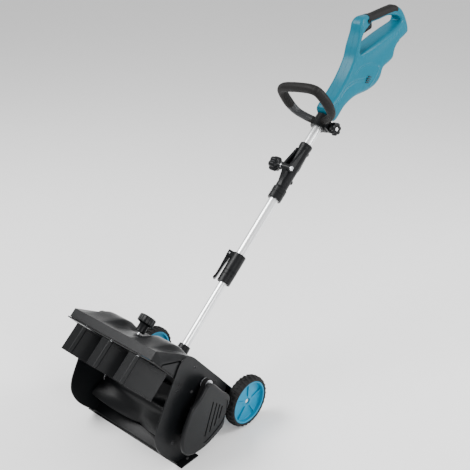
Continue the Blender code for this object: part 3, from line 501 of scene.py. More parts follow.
# %% Hood
BACK_V, KNOB_U = 0.06, -0.081
END = [(-0.03, GAP), (-0.03, 0.0065), (-0.052, 0.02), (-0.078, 0.036), (-0.1, 0.048), (-0.1277, 0.058)]
FRONT = [(0.0, GAP), (0.0, 0.0215)]
LIP = FRONT + mm((-34, 33), (-76, 48), (-100, 54.5), (-127.7, 60))
HUMP = FRONT + mm((-30, 36), (-68, 57), (-100, 64), (-127.7, 60))
VALLEY = FRONT + mm((-34, 31), (-76, 44), (-100, 48), (-127.7, 60))
SECTIONS = [(0.0, VALLEY), (0.034, VALLEY), (0.052, HUMP), (0.106, HUMP), (0.121, LIP), (0.134, LIP),
            (CHAMBER_HALF, END)]


def hood_section(x):
    """The hood's outline across the chute at a place on its width, blended between its neighbours."""
    x = min(abs(x), CHAMBER_HALF)
    for (x0, low), (x1, high) in zip(SECTIONS, SECTIONS[1:]):
        if x <= x1:
            t = (x - x0) / (x1 - x0)
            t = t if high is END else t * t * (3 - 2 * t)
            return [tuple(a + (b - a) * t for a, b in zip(p, q)) for p, q in zip(low, high)]


stations = sorted({round(s * x, 5) for s in (-1, 1) for low, high in zip(SECTIONS, SECTIONS[1:])
                   for x in (low[0] + (high[0] - low[0]) * k / 5 for k in range(6))})
rings = []
for x in stations:
    shape = hood_section(x)
    top = shape[:2] + spline(shape[1:], 4, closed=False)[1:]
    under = [(shape[0][0] - PLATE, shape[0][1]), (shape[1][0] - PLATE, shape[1][1] - PLATE)]
    under += [(u - 0.4 * PLATE, v - PLATE) for u, v in top[2:-1]] + [(top[-1][0], top[-1][1] - PLATE)]
    rings.append([chute(x, u, v) for u, v in top + under[::-1]])
hood = loft("hood", rings)
end_wall = END[:1] + spline(END[1:], 4, closed=False) + [(END[-1][0], GAP)]
for side in (-1, 1):
    fuse(hood, prism("end", end_wall, chute, side * (CHAMBER_HALF - PLATE), side * CHAMBER_HALF))
cut(hood, rod(0.0045, chute(0, KNOB_U, 0.02), chute(0, KNOB_U, 0.08)))
finish(hood, "hood", bevel=0.0008)
print("hood sections:", len(stations))

# %% [markdown]
# The back cover closes the motor bay. It carries vents so that the motor can breathe, and screws along its
# upper edge. The vents face down the back, where thrown snow doesn't reach.

# %% Back cover
top_edge, knee = chute(0, -0.128, BACK_V), chute(0, -0.31, BACK_V)
keys = [(top_edge.y - EDGE_Y, top_edge.z), (knee.y - EDGE_Y, knee.z), (0.204, 0.09), (0.203, 0.07),
        (0.195, 0.055), (0.175, 0.044), (0.15, 0.036), (0.12, 0.027), (0.087, 0.017)]
outer_back = [keys[0]] + spline(keys[1:], 5, closed=False)
inner_back = []
for i, (a, b) in enumerate(outer_back):
    before = Vector(outer_back[max(i - 1, 0)])
    run = (Vector(outer_back[min(i + 1, len(outer_back) - 1)]) - before).normalized()
    inner_back.append((a + run.y * PLATE, b - run.x * PLATE))
back = prism("back", outer_back + inner_back[::-1], at, -CHAMBER_HALF, CHAMBER_HALF)
for u in (-0.215, -0.23, -0.245, -0.26):
    for x in (0.06, 0.1):
        vent = (x - 0.014, x + 0.014), (u - 0.0022, u + 0.0022), (BACK_V - 0.01, BACK_V + 0.01)
        cut(back, block(chute, *vent))
for x in (-0.1, 0.0):
    fuse(back, block(chute, (x - 0.04, x - 0.036), (-0.29, -0.15), (BACK_V - 0.002, BACK_V + 0.0015)))
finish(back, "back_cover")
for number, x in enumerate((-0.125, -0.045, 0.045, 0.125)):
    screw("back_screw_%d" % (number + 1), chute(x, -0.14, BACK_V + 0.0003), UP_POLE, 0.0038, "head")

# %% [markdown]
# ## Rotor and drive
# The rotor is a moulded pair of paddles with a twist that runs from each end to the middle, so snow is drawn
# inwards and thrown out of the centre. Lofting the same star section along the shaft while it turns gives
# the sweep directly. The belt and pulleys sit inside the right cover.

# %% Rotor
ROTOR_R = 0.059
middle = at(0, ROTOR_BACK, ROTOR_UP)
PADDLE = [(-60, 0.014), (-45, 0.014), (-30, 0.0145), (-12, 0.018), (0, 0.034), (5, 0.042), (8, 0.048),
          (12, ROTOR_R - 0.001), (13, ROTOR_R), (16, ROTOR_R), (17, ROTOR_R - 0.001), (16, 0.046),
          (15, 0.038), (14, 0.032), (20, 0.024), (26, 0.018), (50, 0.0145), (70, 0.014), (90, 0.014)]
star_section = [(pi * half + radians(angle), radius) for half in (0, 1) for angle, radius in PADDLE]
rings = []
for k in range(-20, 21):
    x, twist = 0.136 * k / 20, radians(50) * (1 - abs(k) / 20)
    rings.append([middle + Vector((x, r * cos(a + twist), r * sin(a + twist))) for a, r in star_section])
paddles = loft("rotor", rings)
cut(paddles, rod(0.0053, middle - 0.16 * ALONG_X, middle + 0.16 * ALONG_X))
finish(paddles, "rotor")
shaft = mm((4.2, -150), (5, -149.2), (5, 167.2), (4.2, 168))
finish(turned("shaft", shaft, middle, ALONG_X, "steel"), "rotor_shaft", bevel=0)

# %% Motor, pulleys and belt
BIG_R, SMALL_R = 0.0275, 0.011
BELT_X, BELT_END = 0.1534, 0.1626
can = [(0.012, 0), (0.0225, 0.0006), (MOTOR_R, 0.003), (MOTOR_R, 0.02), (MOTOR_R - 0.0008, 0.0206),
       (MOTOR_R - 0.0008, 0.0226), (MOTOR_R, 0.0232), (MOTOR_R, 0.074), (0.0225, 0.0766), (0.01, 0.078)]
can = turned("can", can, motor_place(0.065), ALONG_X, "steel")
for k in range(6):
    a = tau * k / 6
    vent = motor_place(0.12) + 0.017 * (cos(a) * OVER + sin(a) * UP_POLE)
    cut(can, rod(0.003, vent, vent + 0.04 * ALONG_X, steps=12))
finish(can, "motor", bevel=0)
small = [(0.004, 0), (0.004, 0.0065), (0.0125, 0.0065), (0.0125, 0.0078), (SMALL_R, 0.0082),
         (SMALL_R, 0.02), (0.0125, 0.0204), (0.0125, 0.0215)]
pulley = turned("small", small, motor_place(CHAMBER_HALF + GAP), ALONG_X, "steel")
finish(pulley, "motor_pulley", bevel=0.0002)
rim = BIG_R + 0.002
big = [(0.0053, 0.0008), (rim, 0.0008), (rim, 0.002), (BIG_R, 0.0024), (BIG_R, 0.0134), (rim, 0.0138),
       (rim, 0.015), (0.024, 0.015), (0.022, 0.012), (0.01, 0.012), (0.009, 0.015), (0.0053, 0.015)]
pulley = turned("big", big, at(0.1503, ROTOR_BACK, ROTOR_UP), ALONG_X, loop=True)
finish(pulley, "rotor_pulley", bevel=0.0002)
first = Vector((ROTOR_BACK, ROTOR_UP))
second = Vector((motor_place(0).y - EDGE_Y, motor_place(0).z))
run = second - first
base, spread = run.angle_signed(Vector((1, 0))), radians(90) - (BIG_R - SMALL_R) / run.length


def belt_loop(extra):
    return (circle(first, BIG_R + extra, 48, base + spread, base + tau - spread)
            + circle(second, SMALL_R + extra, 28, base - spread, base + spread))


section = [(BELT_X, GAP)] + [(BELT_X + 0.0092 * (k + 0.5) / 6, GAP + 0.0006 * (k % 2)) for k in range(6)]
section += [(BELT_END, GAP), (BELT_END, 0.0024), (BELT_X, 0.0024)]
belt = loft("belt", [[at(x, a, b) for a, b in belt_loop(e)] for x, e in section], "tyre_rubber", loop=True)
finish(belt, "drive_belt", bevel=0)

# %% [markdown]
# ## Vanes and their knob
# The knob on the hood turns a crank. A tie plate under the chute wall joins the crank to a lever on each
# vane, so all three vanes steer together. Each vane is a thin moulded plate, folded at its edges for
# stiffness, with a bright pin where its lever joins.

# %% Vanes
VANE_FRONT, VANE_REAR, VANE_TALL, VANE_T = 0.021, 0.075, 0.067, 0.003
top, bottom = -0.0046, -0.0046 - VANE_TALL
VANE_TURN, CRANK = radians(45), 0.009
across = cos(VANE_TURN) * ALONG_X - sin(VANE_TURN) * OVER
thick = sin(VANE_TURN) * ALONG_X + cos(VANE_TURN) * OVER
arm = CRANK * (cos(radians(45)) * ALONG_X + sin(radians(45)) * OVER)
half = VANE_T / 2
SECTION = [(-VANE_FRONT, -half), (-0.0055, -half), (-0.0035, -0.0036), (0.0035, -0.0036), (0.0055, -half),
           (VANE_REAR, -half), (VANE_REAR, half), (0.0055, half), (0.0035, 0.0036), (-0.0035, 0.0036),
           (-0.0055, half), (-VANE_FRONT, half)]


def lever_parts(pivot):
    """A flat lever from a pivot, and the pin at its end that the tie plate turns on."""
    return (bar_between(pivot, pivot + arm, 0.003, 0.003, 0.0065),
            rod(0.002, pivot + arm + 0.005 * UP_POLE, pivot + arm + 0.012 * UP_POLE))


for number, x in enumerate(VANE_X):
    pivot = chute(x, VANE_U, 0)

    def on_vane(a, b, v):
        return pivot + a * across + b * thick + v * UP_POLE

    vane = loft("vane", [[on_vane(a, b, v) for a, b in SECTION] for v in (top, bottom)])
    for low, high in ((bottom + 0.004, bottom + 0.0055), (top - 0.0075, top - 0.006)):
        ring = [(a, half + b) for a, b in ((0.008, -0.0002), (VANE_REAR - 0.004, -0.0002),
                                           (VANE_REAR - 0.004, 0.0008), (0.008, 0.0008))]
        fuse(vane, loft("rib", [[on_vane(a, b, v) for a, b in ring] for v in (low, high)]))
    fuse(vane, rod(0.003, pivot - 0.01 * UP_POLE, pivot + 0.004 * UP_POLE), *lever_parts(pivot))
    finish(vane, "vane_%d" % (number + 1))

# %% Tie plate, crank and knob
low, high = 0.0075, 0.0105
ends = [chute(x, VANE_U, 0) + arm for x in VANE_X]
crank_pin, under_knob = chute(0, KNOB_U, 0) + arm, chute(0, KNOB_U, 0)
tie = bar_between(ends[0], ends[2], 0.003, low, high)
fuse(tie, bar_between(ends[1], crank_pin, 0.0027, low + 0.0002, high - 0.0002))
cut(tie, *[rod(0.0023, p, p + 0.02 * UP_POLE) for p in ends + [crank_pin]])
finish(tie, "tie_plate", bevel=0.0003)
crank = rod(0.003, under_knob + 0.0055 * UP_POLE, under_knob + 0.0865 * UP_POLE)
fuse(crank, *lever_parts(under_knob))
finish(crank, "knob_crank", bevel=0.0003)


def lobed(name, profile, centre, axis, side, other, steps, plain, dent):
    """A turned shape whose rings wider than `plain` are dented in by `dent` of the angle."""
    rings = []
    for radius, along in profile:
        ring = []
        for k in range(steps):
            a = tau * k / steps
            r = radius if radius < plain else radius - dent(a)
            ring.append(centre + along * axis + r * (cos(a) * side + sin(a) * other))
        rings.append(ring)
    return loft(name, rings)


LOBES = 9
KNOB = mm((10.8, 49.6), (11.8, 50.6), (11.8, 69), (12.5, 70.4), (19.5, 72.2), (20.7, 73.2), (21, 75),
          (21, 86.5), (20.6, 88.5), (19, 90.2), (16, 90.8), (15, 90))
knob = lobed("knob", KNOB, under_knob, UP_POLE, ALONG_X, OVER, LOBES * 12, 0.0165,
             lambda a: 0.0013 * (0.5 + 0.5 * cos(LOBES * a)) ** 2)
cut(knob, rod(0.0033, under_knob + 0.04 * UP_POLE, under_knob + 0.0872 * UP_POLE))
finish(knob, "vane_knob", bevel=0)
finish(tube("clip", 0.007, 0.0033, 0.0375, 0.0392, under_knob, UP_POLE, "steel"), "shaft_clip", bevel=0)

# %% [markdown]
# ## Wheels
# The blue wheel is a dished disc with five thin ribs and a sunk hub. The tyre is a moulded ring whose lugs
# are staggered left and right, so that it grips snow without humming. Each lug is a small wedge laid across
# the tread, and all of them follow from one rule round the circle.

# %% Tyres, wheels and axle
WHEEL_BACK, WHEEL_R, WHEEL_W, AXLE_R, WHEEL_IN = 0.2225, 0.0655, 0.03, 0.005, 0.151
RIBS, LUGS = 5, 30
TREAD_R = WHEEL_R - 0.003
hub = at(0, WHEEL_BACK, WHEEL_R)


def round_hub(x, radius, angle):
    return hub + Vector((x, radius * cos(angle), radius * sin(angle)))


def radial_rib(side, angle, inner_r, outer_r, low, high, half):
    """A thin rib from the hub to the rim, on the wheel's outer face."""
    rings = []
    for x in (low, high):
        ring = []
        for r, way in ((inner_r, -1), (outer_r, -1), (outer_r, 1), (inner_r, 1)):
            ring.append(round_hub(side * (WHEEL_IN + x), r, angle + way * half / r))
        rings.append(ring)
    return loft("rib", rings, "wheel_blue")


def lug_ring(side, x, angle):
    """One section of a tyre lug, lower where it reaches the tyre's shoulder."""
    wide = 0.62 * tau / (LUGS * 2) / 2
    tall = WHEEL_R - (0.0032 if min(x, WHEEL_W - x) < 0.002 else 0.0)
    corners = ((TREAD_R - 0.0035, -1.2), (tall, -0.8), (tall, 0.8), (TREAD_R - 0.0035, 1.2))
    return [round_hub(side * (WHEEL_IN + x), r, angle + w * wide) for r, w in corners]


for side, word in ((-1, "left"), (1, "right")):
    way = side * ALONG_X
    face = hub + WHEEL_IN * way
    profile = [(0.0556, 0.0008), (0.059, 0.0), (TREAD_R - 0.002, 0.0022), (TREAD_R, 0.005),
               (TREAD_R, WHEEL_W - 0.005), (TREAD_R - 0.002, WHEEL_W - 0.0022), (0.059, WHEEL_W),
               (0.0556, WHEEL_W - 0.0008)]
    tyre = turned("tyre", profile, face, way, "tyre_rubber", 90, loop=True)
    lugs = []
    for k in range(LUGS * 2):
        angle = tau * k / (LUGS * 2)
        low, high = ((0.0012, 0.0165), (0.0135, WHEEL_W - 0.0012))[k % 2]
        steps = ((low, -0.02), ((low + high) / 2, 0.0), (high, 0.02))
        lugs.append(loft("lug", [lug_ring(side, x, angle + skew) for x, skew in steps], "tyre_rubber"))
    with bpy.context.temp_override(active_object=tyre, selected_editable_objects=[tyre] + lugs):
        bpy.ops.object.join()
    finish(tyre, "tyre_" + word, bevel=0)

    disc = mm((5.3, 0), (12, 0), (12, 9), (50.5, 9), (50.5, 2), (55.3, 2), (55.3, 27), (54.5, 28.4),
              (52, 28.4), (50.8, 27), (50, 19), (49, 17.8), (18, 19), (15, 20.5), (12, 21.5), (8.5, 21.5),
              (8.2, 14.5), (5.3, 14.5))
    wheel = turned("wheel", disc, face, way, "wheel_blue", 80, loop=True)
    for k in range(RIBS):
        fuse(wheel, radial_rib(side, tau * k / RIBS + 0.2, 0.011, 0.05, 0.015, 0.0222, 0.0011))
    finish(wheel, "wheel_" + word, bevel=0.0003)
    clip = mm((8, 14.9), (8, 16), (6.8, 17.5), (5.3, 17.5), (5.3, 14.9))
    finish(turned("clip", clip, face, way, "steel", loop=True), "axle_clip_" + word, bevel=0)
    outline = circle((WHEEL_BACK, WHEEL_R), 0.0095, 28, radians(-110), radians(110))
    ear = prism("ear", outline + [(0.2048, 0.09), (0.2048, 0.062)], at, side * 0.118, side * 0.134)
    well = at(side * 0.126, 0.213, 0.0745)
    cut(ear, rod(0.0053, hub + 0.1 * way, hub + 0.15 * way),
        rod(0.0058, well + 0.01 * way, well + 0.002 * way))
    finish(ear, "axle_bracket_" + word)
axle = [(0.0042, -0.17), (AXLE_R, -0.1692), (AXLE_R, 0.1692), (0.0042, 0.17)]
finish(turned("axle", axle, hub, ALONG_X, "steel"), "axle", bevel=0)
print("lugs on each tyre:", 2 * LUGS)

# %% [markdown]
# ## Telescopic pole and its clamp
# Two aluminium tubes slide inside one another. A split bush in the collar grips the thinner one when the
# cam lever is pressed flat. Drawn tube shows faint lines along its length, so its finish stretches the
# noise that way.

# %% Tubes, socket and clamp
LOWER_R, LOWER_BORE, TUBE_R, TUBE_BORE = 0.0106, 0.0092, 0.0125, 0.011
CLAMP_TURN = radians(-28)
socket = mm((20.5, -375.7), (20.5, -371.2), (19.8, -370), (17.2, -367.2), (16.5, -365.5), (15, -344.5),
            (14.5, -344), (10.9, -344), (10.9, -375.7))
foot_piece = turned("socket", socket, FOOT, UP_POLE, loop=True)
for k in range(4):
    a = tau * (k + 0.5) / 4
    place = FOOT + 0.018 * (cos(a) * ALONG_X + sin(a) * OVER) - 0.3705 * UP_POLE
    cut(foot_piece, rod(0.0012, place, place + 0.01 * UP_POLE, steps=12))
finish(foot_piece, "pole_socket", bevel=0)
for word, radius, bore, start, end in (("lower", LOWER_R, LOWER_BORE, -0.374, -0.055),
                                       ("middle", TUBE_R, TUBE_BORE, -0.127, 0.164),
                                       ("upper", TUBE_R, TUBE_BORE, 0.196, 0.425)):
    finish(tube(word, radius, bore, start, end, FOOT, UP_POLE, "aluminium"), word + "_tube", bevel=0)
bush = tube("bush", 0.015, 0.0109, -0.16, -0.1275, FOOT, UP_POLE, "black_plastic")
cut(bush, block(pole, (-0.0008, 0.0008), (-0.158, -0.135), (0, 0.02)))
finish(bush, "clamp_bush", bevel=0)
collar = turned("collar", mm((15.3, -162), (17.2, -162), (17.8, -161.2), (18.2, -120), (17.8, -79),
                             (17, -78), (12.8, -78), (12.8, -126), (15.3, -127.2)), FOOT, UP_POLE, loop=True)
clamp = turned_pole(CLAMP_TURN)


def across_clamp(radius, reach):
    """A round bar on the lever's pin line."""
    return rod(radius, clamp(-0.0245, -0.088, -reach), clamp(-0.0245, -0.088, reach))


for low, high in ((-0.0122, -0.0083), (0.0083, 0.0122)):
    fuse(collar, block(clamp, (-0.03, -0.0125), (-0.096, -0.08), (low, high)))
for s in (-0.15, -0.14, -0.13):
    cut(collar, tube("groove", 0.02, 0.0175, s, s + 0.0016, FOOT, UP_POLE, "black_plastic", lip=0.0001))
cut(collar, across_clamp(0.0023, 0.02))
finish(collar, "clamp_collar")
finish(across_clamp(0.002, 0.013), "clamp_pin", bevel=0.0003)
LEVER = mm((-20, -83), (-27.5, -83), (-30, -90), (-29, -115), (-27.5, -148), (-30, -160), (-27, -164),
           (-22.5, -156), (-21, -120), (-19.2, -100))
fine_lever = spline(LEVER, 4)
lever = loft("lever", [[clamp(a, b, h) for a, b in fine_lever] for h in (-0.008, 0.008)])
for s in (-0.152, -0.147, -0.142, -0.137):
    fuse(lever, block(clamp, (-0.0288, -0.0262), (s - 0.0009, s + 0.0009), (-0.0065, 0.0065)))
cut(lever, across_clamp(0.0023, 0.02))
finish(lever, "clamp_lever")

# %% [markdown]
# ## The fold
# The pole folds at a hinge whose pin sits above the tubes, so the two halves can lie flat together. Two
# sleeves butt end to end under the pin, a star knob clamps them, and small eyelets underneath take a strap.
# The sleeves are turned shapes with their ears fused on.

# %% Hinge sleeves
HINGE_S, HINGE_H = 0.182, 0.026
pivot = pole(0, HINGE_S, HINGE_H)
sleeve = turned("sleeve", mm((17.6, 95), (19, 96.8), (19, 110.8), (17.8, 112), (17.8, 114), (19, 115.2),
                             (19, 128.6), (18, 130), (16.5, 132), (16.5, 179.7), (12.8, 179.7), (12.8, 95)),
                FOOT, UP_POLE, loop=True)
lug = mm((132, 14), (173, 14), (174.5, 18))
lug += circle((HINGE_S, HINGE_H), 0.0088, 25, radians(-90), radians(140))
fuse(sleeve, prism("lug", lug, pole, -0.0065, 0.0065),
     block(pole, (-0.003, 0.003), (0.15, 0.178), (-0.0235, -0.014)))
top = turned("top", mm((16.5, 180.3), (16.5, 256), (16.8, 257.6), (17.5, 259), (17.5, 269), (16.8, 270),
                       (12.8, 270), (12.8, 180.3)), FOOT, UP_POLE, loop=True)
ear = circle((HINGE_S, HINGE_H), 0.0088, 25, radians(40), radians(270))
ear += mm((188, 15), (190, 11.4), (250, 11.4), (250, 15))
for low, high in ((-0.0135, -0.007), (0.007, 0.0135)):
    fuse(top, prism("ear", ear, pole, low, high))
rib = mm((195, -14), (195, -23.5), (205, -27), (252, -23.5), (260, -14))
fuse(top, prism("rib", rib, pole, -0.003, 0.003))


def eyelet(s, h):
    """A small strap ring under a sleeve."""
    return tube("eyelet", 0.0062, 0.0033, -0.0022, 0.0022, pole(0, s, h), ALONG_X, "black_plastic",
                lip=0.0006)


fuse(sleeve, eyelet(0.166, -0.0262))
fuse(top, eyelet(0.256, -0.0232))
for part_of_fold in (sleeve, top):
    cut(part_of_fold, rod(0.0033, pivot - 0.03 * ALONG_X, pivot + 0.03 * ALONG_X))
finish(sleeve, "hinge_lower")
finish(top, "hinge_upper")


# %% Bolts and star knobs
def star(name, centre, axis, start, end, radius, lobes):
    """A lobed hand knob with a blind hole for its bolt."""
    side = axis.orthogonal().normalized()
    depth = end - start
    profile = [(0.01, start), (0.011, start + 0.0008), (0.011, start + 0.22 * depth),
               (0.93 * radius, start + 0.36 * depth), (radius, start + 0.44 * depth),
               (radius, end - 0.14 * depth), (0.95 * radius, end - 0.05 * depth), (0.82 * radius, end),
               (0.45 * radius, end), (0.42 * radius, end - 0.0012)]
    made = lobed(name, profile, centre, axis, side, axis.cross(side), lobes * 16, 0.7 * radius,
                 lambda a: 0.17 * radius * (0.5 - 0.5 * cos(lobes * a)) ** 2)
    return cut(made, rod(0.0034, centre + (start - 0.01) * axis, centre + (end - 0.0055) * axis))


bolt = mm((3, -41.5), (3, 14), (6.2, 14), (6.2, 17.2), (5.4, 18), (3, 18), (2.6, 16.8))
finish(turned("bolt", bolt, pivot, ALONG_X, "steel", 30), "hinge_bolt", bevel=0)
washer = tube("washer", 0.0085, 0.0033, 0.0138, 0.0155, pivot, -ALONG_X, "aluminium", lip=0.0002)
finish(washer, "hinge_washer", bevel=0)
finish(star("star", pivot, -ALONG_X, 0.0158, 0.048, 0.02, 6), "hinge_knob", bevel=0)

# %% [markdown]
# ## Loop handle
# The front loop is a round bar bent to a D and moulded onto the upper half of its clamp. Soft ribs under the
# top bar stop a glove from turning. They are part of the bar's own radius, so no extra piece is needed: the
# radius rises and falls along the bar wherever the surface faces the hand.

# %% Loop bar
LOOP_S, LOOP_TURN, LEAN = 0.3455, radians(12), 0.1
RIB_PITCH, RIB_DEPTH = 0.0036, 0.0008
loop_frame = turned_pole(LOOP_TURN)
HALF_LOOP = mm((15, 6), (40, 19), (62, 37), (71, 60), (72, 90), (66, 117), (48, 128), (16, 131))
path = spline([(-a, b) for a, b in HALF_LOOP] + HALF_LOOP[::-1], 14, closed=False)
rings, travelled = [], 0.0
for i, (a, b) in enumerate(path):
    before, after = Vector(path[max(i - 1, 0)]), Vector(path[min(i + 1, len(path) - 1)])
    run = (after - before).normalized()
    travelled += (Vector((a, b)) - Vector(path[max(i - 1, 0)])).length
    radius = 0.0105 + 0.0025 * min(1, max(0, (b - 0.03) / 0.04))
    ribbed = max(0.0, min(1.0, (b - 0.085) / 0.02))
    ring = []
    for k in range(36):
        t = tau * k / 36
        inside = max(0.0, cos(t)) ** 0.5
        r = radius - RIB_DEPTH * ribbed * inside * (0.5 + 0.5 * sin(tau * travelled / RIB_PITCH))
        over, up = r * cos(t), r * sin(t)
        ring.append(loop_frame(a - run.y * over, LOOP_S + LEAN * b + up, b + run.x * over))
    rings.append(ring)
bar = loft("bar", rings, "grip_rubber")
low, high = LOOP_S - 0.0185, LOOP_S + 0.0185


def half_ring(name, radius, start, end):
    """Half of the clamp's ring round the tube, between two angles."""
    ring = circle((0, 0), radius, 29, start, end) + circle((0, 0), 0.0126, 29, start, end)[::-1]
    return loft(name, [[loop_frame(a, s, b) for a, b in ring] for s in (low, high)])


fuse(bar, half_ring("half", 0.0202, radians(2), radians(178)))
cut(bar, block(loop_frame, (-0.0193, 0.0193), (low - 0.01, high + 0.01), (-0.03, GAP)),
    rod(TUBE_R + GAP, pole(0, 0.3, 0), pole(0, 0.4, 0)))
for x in (-0.0254, 0.0194):
    fuse(bar, block(loop_frame, (x, x + 0.006), (LOOP_S - 0.012, LOOP_S + 0.012), (-0.026, 0.006)))
hole = (loop_frame(-0.06, LOOP_S, -0.0215), loop_frame(0.06, LOOP_S, -0.0215))
cut(bar, rod(0.0033, *hole))
# The lower part of the loop's left side gets the lighter grey: a painted highlight on the black grip.
bar.data.materials.append(LOOP_HIGHLIGHT_GREY)
highlight_slot = len(bar.data.materials) - 1
for face in bar.data.polygons:
    x, h = face.center.x, (face.center - FOOT).dot(OVER)
    if x < -0.022 and 0.012 < h < 0.048:
        face.material_index = highlight_slot
finish(bar, "loop_handle")
cap = half_ring("cap", 0.019, radians(182), radians(358))
fuse(cap, block(loop_frame, (-0.015, 0.015), (LOOP_S - 0.012, LOOP_S + 0.012), (-0.027, -0.014)))
cut(cap, rod(0.0033, *hole), rod(TUBE_R + GAP, pole(0, 0.3, 0), pole(0, 0.4, 0)))
finish(cap, "loop_clamp")
way = (hole[1] - hole[0]).normalized()
bolt_place = loop_frame(0, LOOP_S, -0.0215)
bolt = mm((6.2, -31), (7, -30.2), (7, -25.7), (3, -25.7), (3, 39))
finish(turned("bolt", bolt, bolt_place, way, "steel", 24), "loop_bolt", bevel=0)
knob = star("star", bolt_place, way, 0.0258, 0.0455, 0.018, 7)
dot = turned("dot", mm((5, 44), (5, 45.2), (4, 45.6)), bolt_place, way, PALE, 24)
finish(knob, "loop_knob", bevel=0)
finish(dot, bevel=0, slot="black_plastic", body="loop_knob").name = "loop_knob_cap"
print("loop bar sections:", len(path))

# %% [markdown]
# ## Rear handle
# The rear casing is two blue shells that meet on the machine's middle plane. Their edge is rounded by up to
# 12 mm, and the width changes all the way along, which no plain extrusion can follow. So the edge is a row
# of stations, each with its own half width and rounding. The flat of the side is then filled with a fine
# triangle grid, and each point's height is blended from the edge points around it, the way a sheet of
# rubber would settle over the rim. The styling creases press into that same surface.

# %% The casing's stations
GRIP_R, GRIP_MIDDLE = 0.0122, Vector((0.7, 0.0285))
GRIP_ALONG, GRIP_ACROSS = Vector((0.823, -0.568)), Vector((0.568, 0.823))
TRIGGER_HALF, TRIGGER_PIVOT, BUTTON = 0.0062, (0.656, 0.0515), (0.64, 0.07)
RAIL_HALF, RAIL_S = 0.014, (0.687, 0.72)


def grip_edge(t, way):
    place = GRIP_MIDDLE + t * GRIP_ALONG + way * GRIP_R * GRIP_ACROSS
    return (place.x, place.y, GRIP_R, 0.9 * GRIP_R)


# Each station is a point (s, h), the half width there and the rounding of the edge.
REAR_EDGE = (
    mm((372, 23.5, 23.5, 10), (420, 24.5, 23.8, 10), (475, 27, 23, 9), (528, 40, 21.5, 7),
       (560, 60, 20.5, 5), (592, 80, 19.5, 8), (608, 94, 19, 9), (626, 96.5, 17.5, 10),
       (643, 87, 15, 10))
    + [grip_edge(-0.048, 1), grip_edge(-0.01, 1), grip_edge(0.043, 1)]
    + mm((762, -5, 14.5, 9), (775, -35, 17, 9), (771, -78, 21, 10), (757, -101, 24, 10),
         (735, -97, 26.5, 11), (705, -85, 29, 12), (678, -84, 30.5, 12), (655, -97, 31, 12),
         (632, -92, 31, 12), (605, -82, 31, 12), (582, -93, 30.5, 12), (555, -93.5, 29.5, 12),
         (520, -78, 28, 12), (470, -43, 26, 12), (425, -26.5, 24.5, 10), (372, -23.5, 23.5, 10)))
HOLE_EDGE = (
    mm((558, 32, 21.5, 5), (569, 46, 20.5, 5), (585, 55, 19.5, 8), (598, 60, 19, 9),
       (614, 60, 17.5, 10), (628, 54.5, 15, 10))
    + [grip_edge(-0.048, -1), grip_edge(-0.01, -1), grip_edge(0.035, -1)]
    + mm((745, -27, 15, 9), (752, -42, 18, 9), (746, -51, 22.5, 10), (705, -34, 29, 12),
         (665, -15, 30, 12), (625, 3, 29.5, 12), (592, 17.5, 27, 10)))
# Each crease is a line of (s, h) points, its depth and its width. A negative depth is a raised line.
CREASES = [
    (mm((395, 12), (432, 14), (466, 10), (492, -4), (514, -22), (535, -43)), 0.0022, 0.0035),
    (mm((511, 8), (531, 4), (553, -6), (575, -26), (594, -55)), 0.0012, 0.0022),
    (mm((594, -57), (574, -64), (553, -69), (531, -67)), -0.0014, 0.0022),
    (mm((468, 18), (500, 24), (530, 44), (562, 66), (590, 84)), 0.0012, 0.0022)]
VENTS = mm((546, -46), (540, -47.5), (534, -48.5), (528, -49))


def off_line(point, line):
    """How far a point is from a line of points."""
    best = 1.0
    for a, b in zip(line, line[1:]):
        a, b = Vector(a), Vector(b)
        t = min(1, max(0, (point - a).dot(b - a) / (b - a).length_squared))
        best = min(best, (point - a - t * (b - a)).length)
    return best


# %% Filling the side
GRID, ROW, FLANGE = 0.0026, 0.866, 0.0015   # the grid's pitch, its rows' spacing, and the seam's inner rim
EDGE_TURNS = [radians(k) for k in range(0, 91, 15)]


def inside(point, loop):
    """Whether a point is within a closed outline, by counting the edges to its right."""
    found = False
    for (x0, y0), (x1, y1) in zip(loop, loop[1:] + loop[:1]):
        if (y0 > point.y) != (y1 > point.y) and point.x < (x1 - x0) * (point.y - y0) / (y1 - y0) + x0:
            found = not found
    return found


def side_height(point, rim):
    """The side's height at a point, blended from the rim stations and pressed in along the creases."""
    total = weight = 0.0
    for a, b, half in rim:
        near = 1 / ((point.x - a) ** 2 + (point.y - b) ** 2 + 1e-7) ** 1.5
        total, weight = total + near * half, weight + near
    press = sum(depth * exp(-(off_line(point, line) / width) ** 2) for line, depth, width in CREASES)
    return total / weight - press


def edge_levels(stations, way, points):
    """Adds the rings that carry an edge from the middle plane over its rounding; returns their numbers."""
    fine = spline(stations[::-1], 6)
    line = [(s, h) for s, h, _, _ in fine]
    rings = [[(GAP / 2, *p) for p in inset(line, way * FLANGE)], [(GAP / 2, *p) for p in line]]
    for turn in EDGE_TURNS:
        rings.append([(half - curve * (1 - sin(turn)),
                       *(inset(line, way * curve * (1 - cos(turn)))[i] if turn else line[i]))
                      for i, (_, _, half, curve) in enumerate(fine)])
    levels = []
    for ring in rings:
        levels.append(range(len(points), len(points) + len(ring)))
        points += ring
    return levels


def grid_points(flat, loops):
    """A fine triangle grid over the side, kept clear of both rims."""
    outer, hole = inset(loops[0], GRID * 0.8), inset(loops[1], -GRID * 0.8)
    left, right = min(p.x for p in flat), max(p.x for p in flat)
    bottom, top = min(p.y for p in flat), max(p.y for p in flat)
    found = []
    for i in range(int((right - left) / GRID)):
        for j in range(int((top - bottom) / (ROW * GRID))):
            p = Vector((left + (i + 0.5 * (j % 2)) * GRID, bottom + j * ROW * GRID))
            if inside(p, outer) and not inside(p, hole):
                found.append(p)
    return found


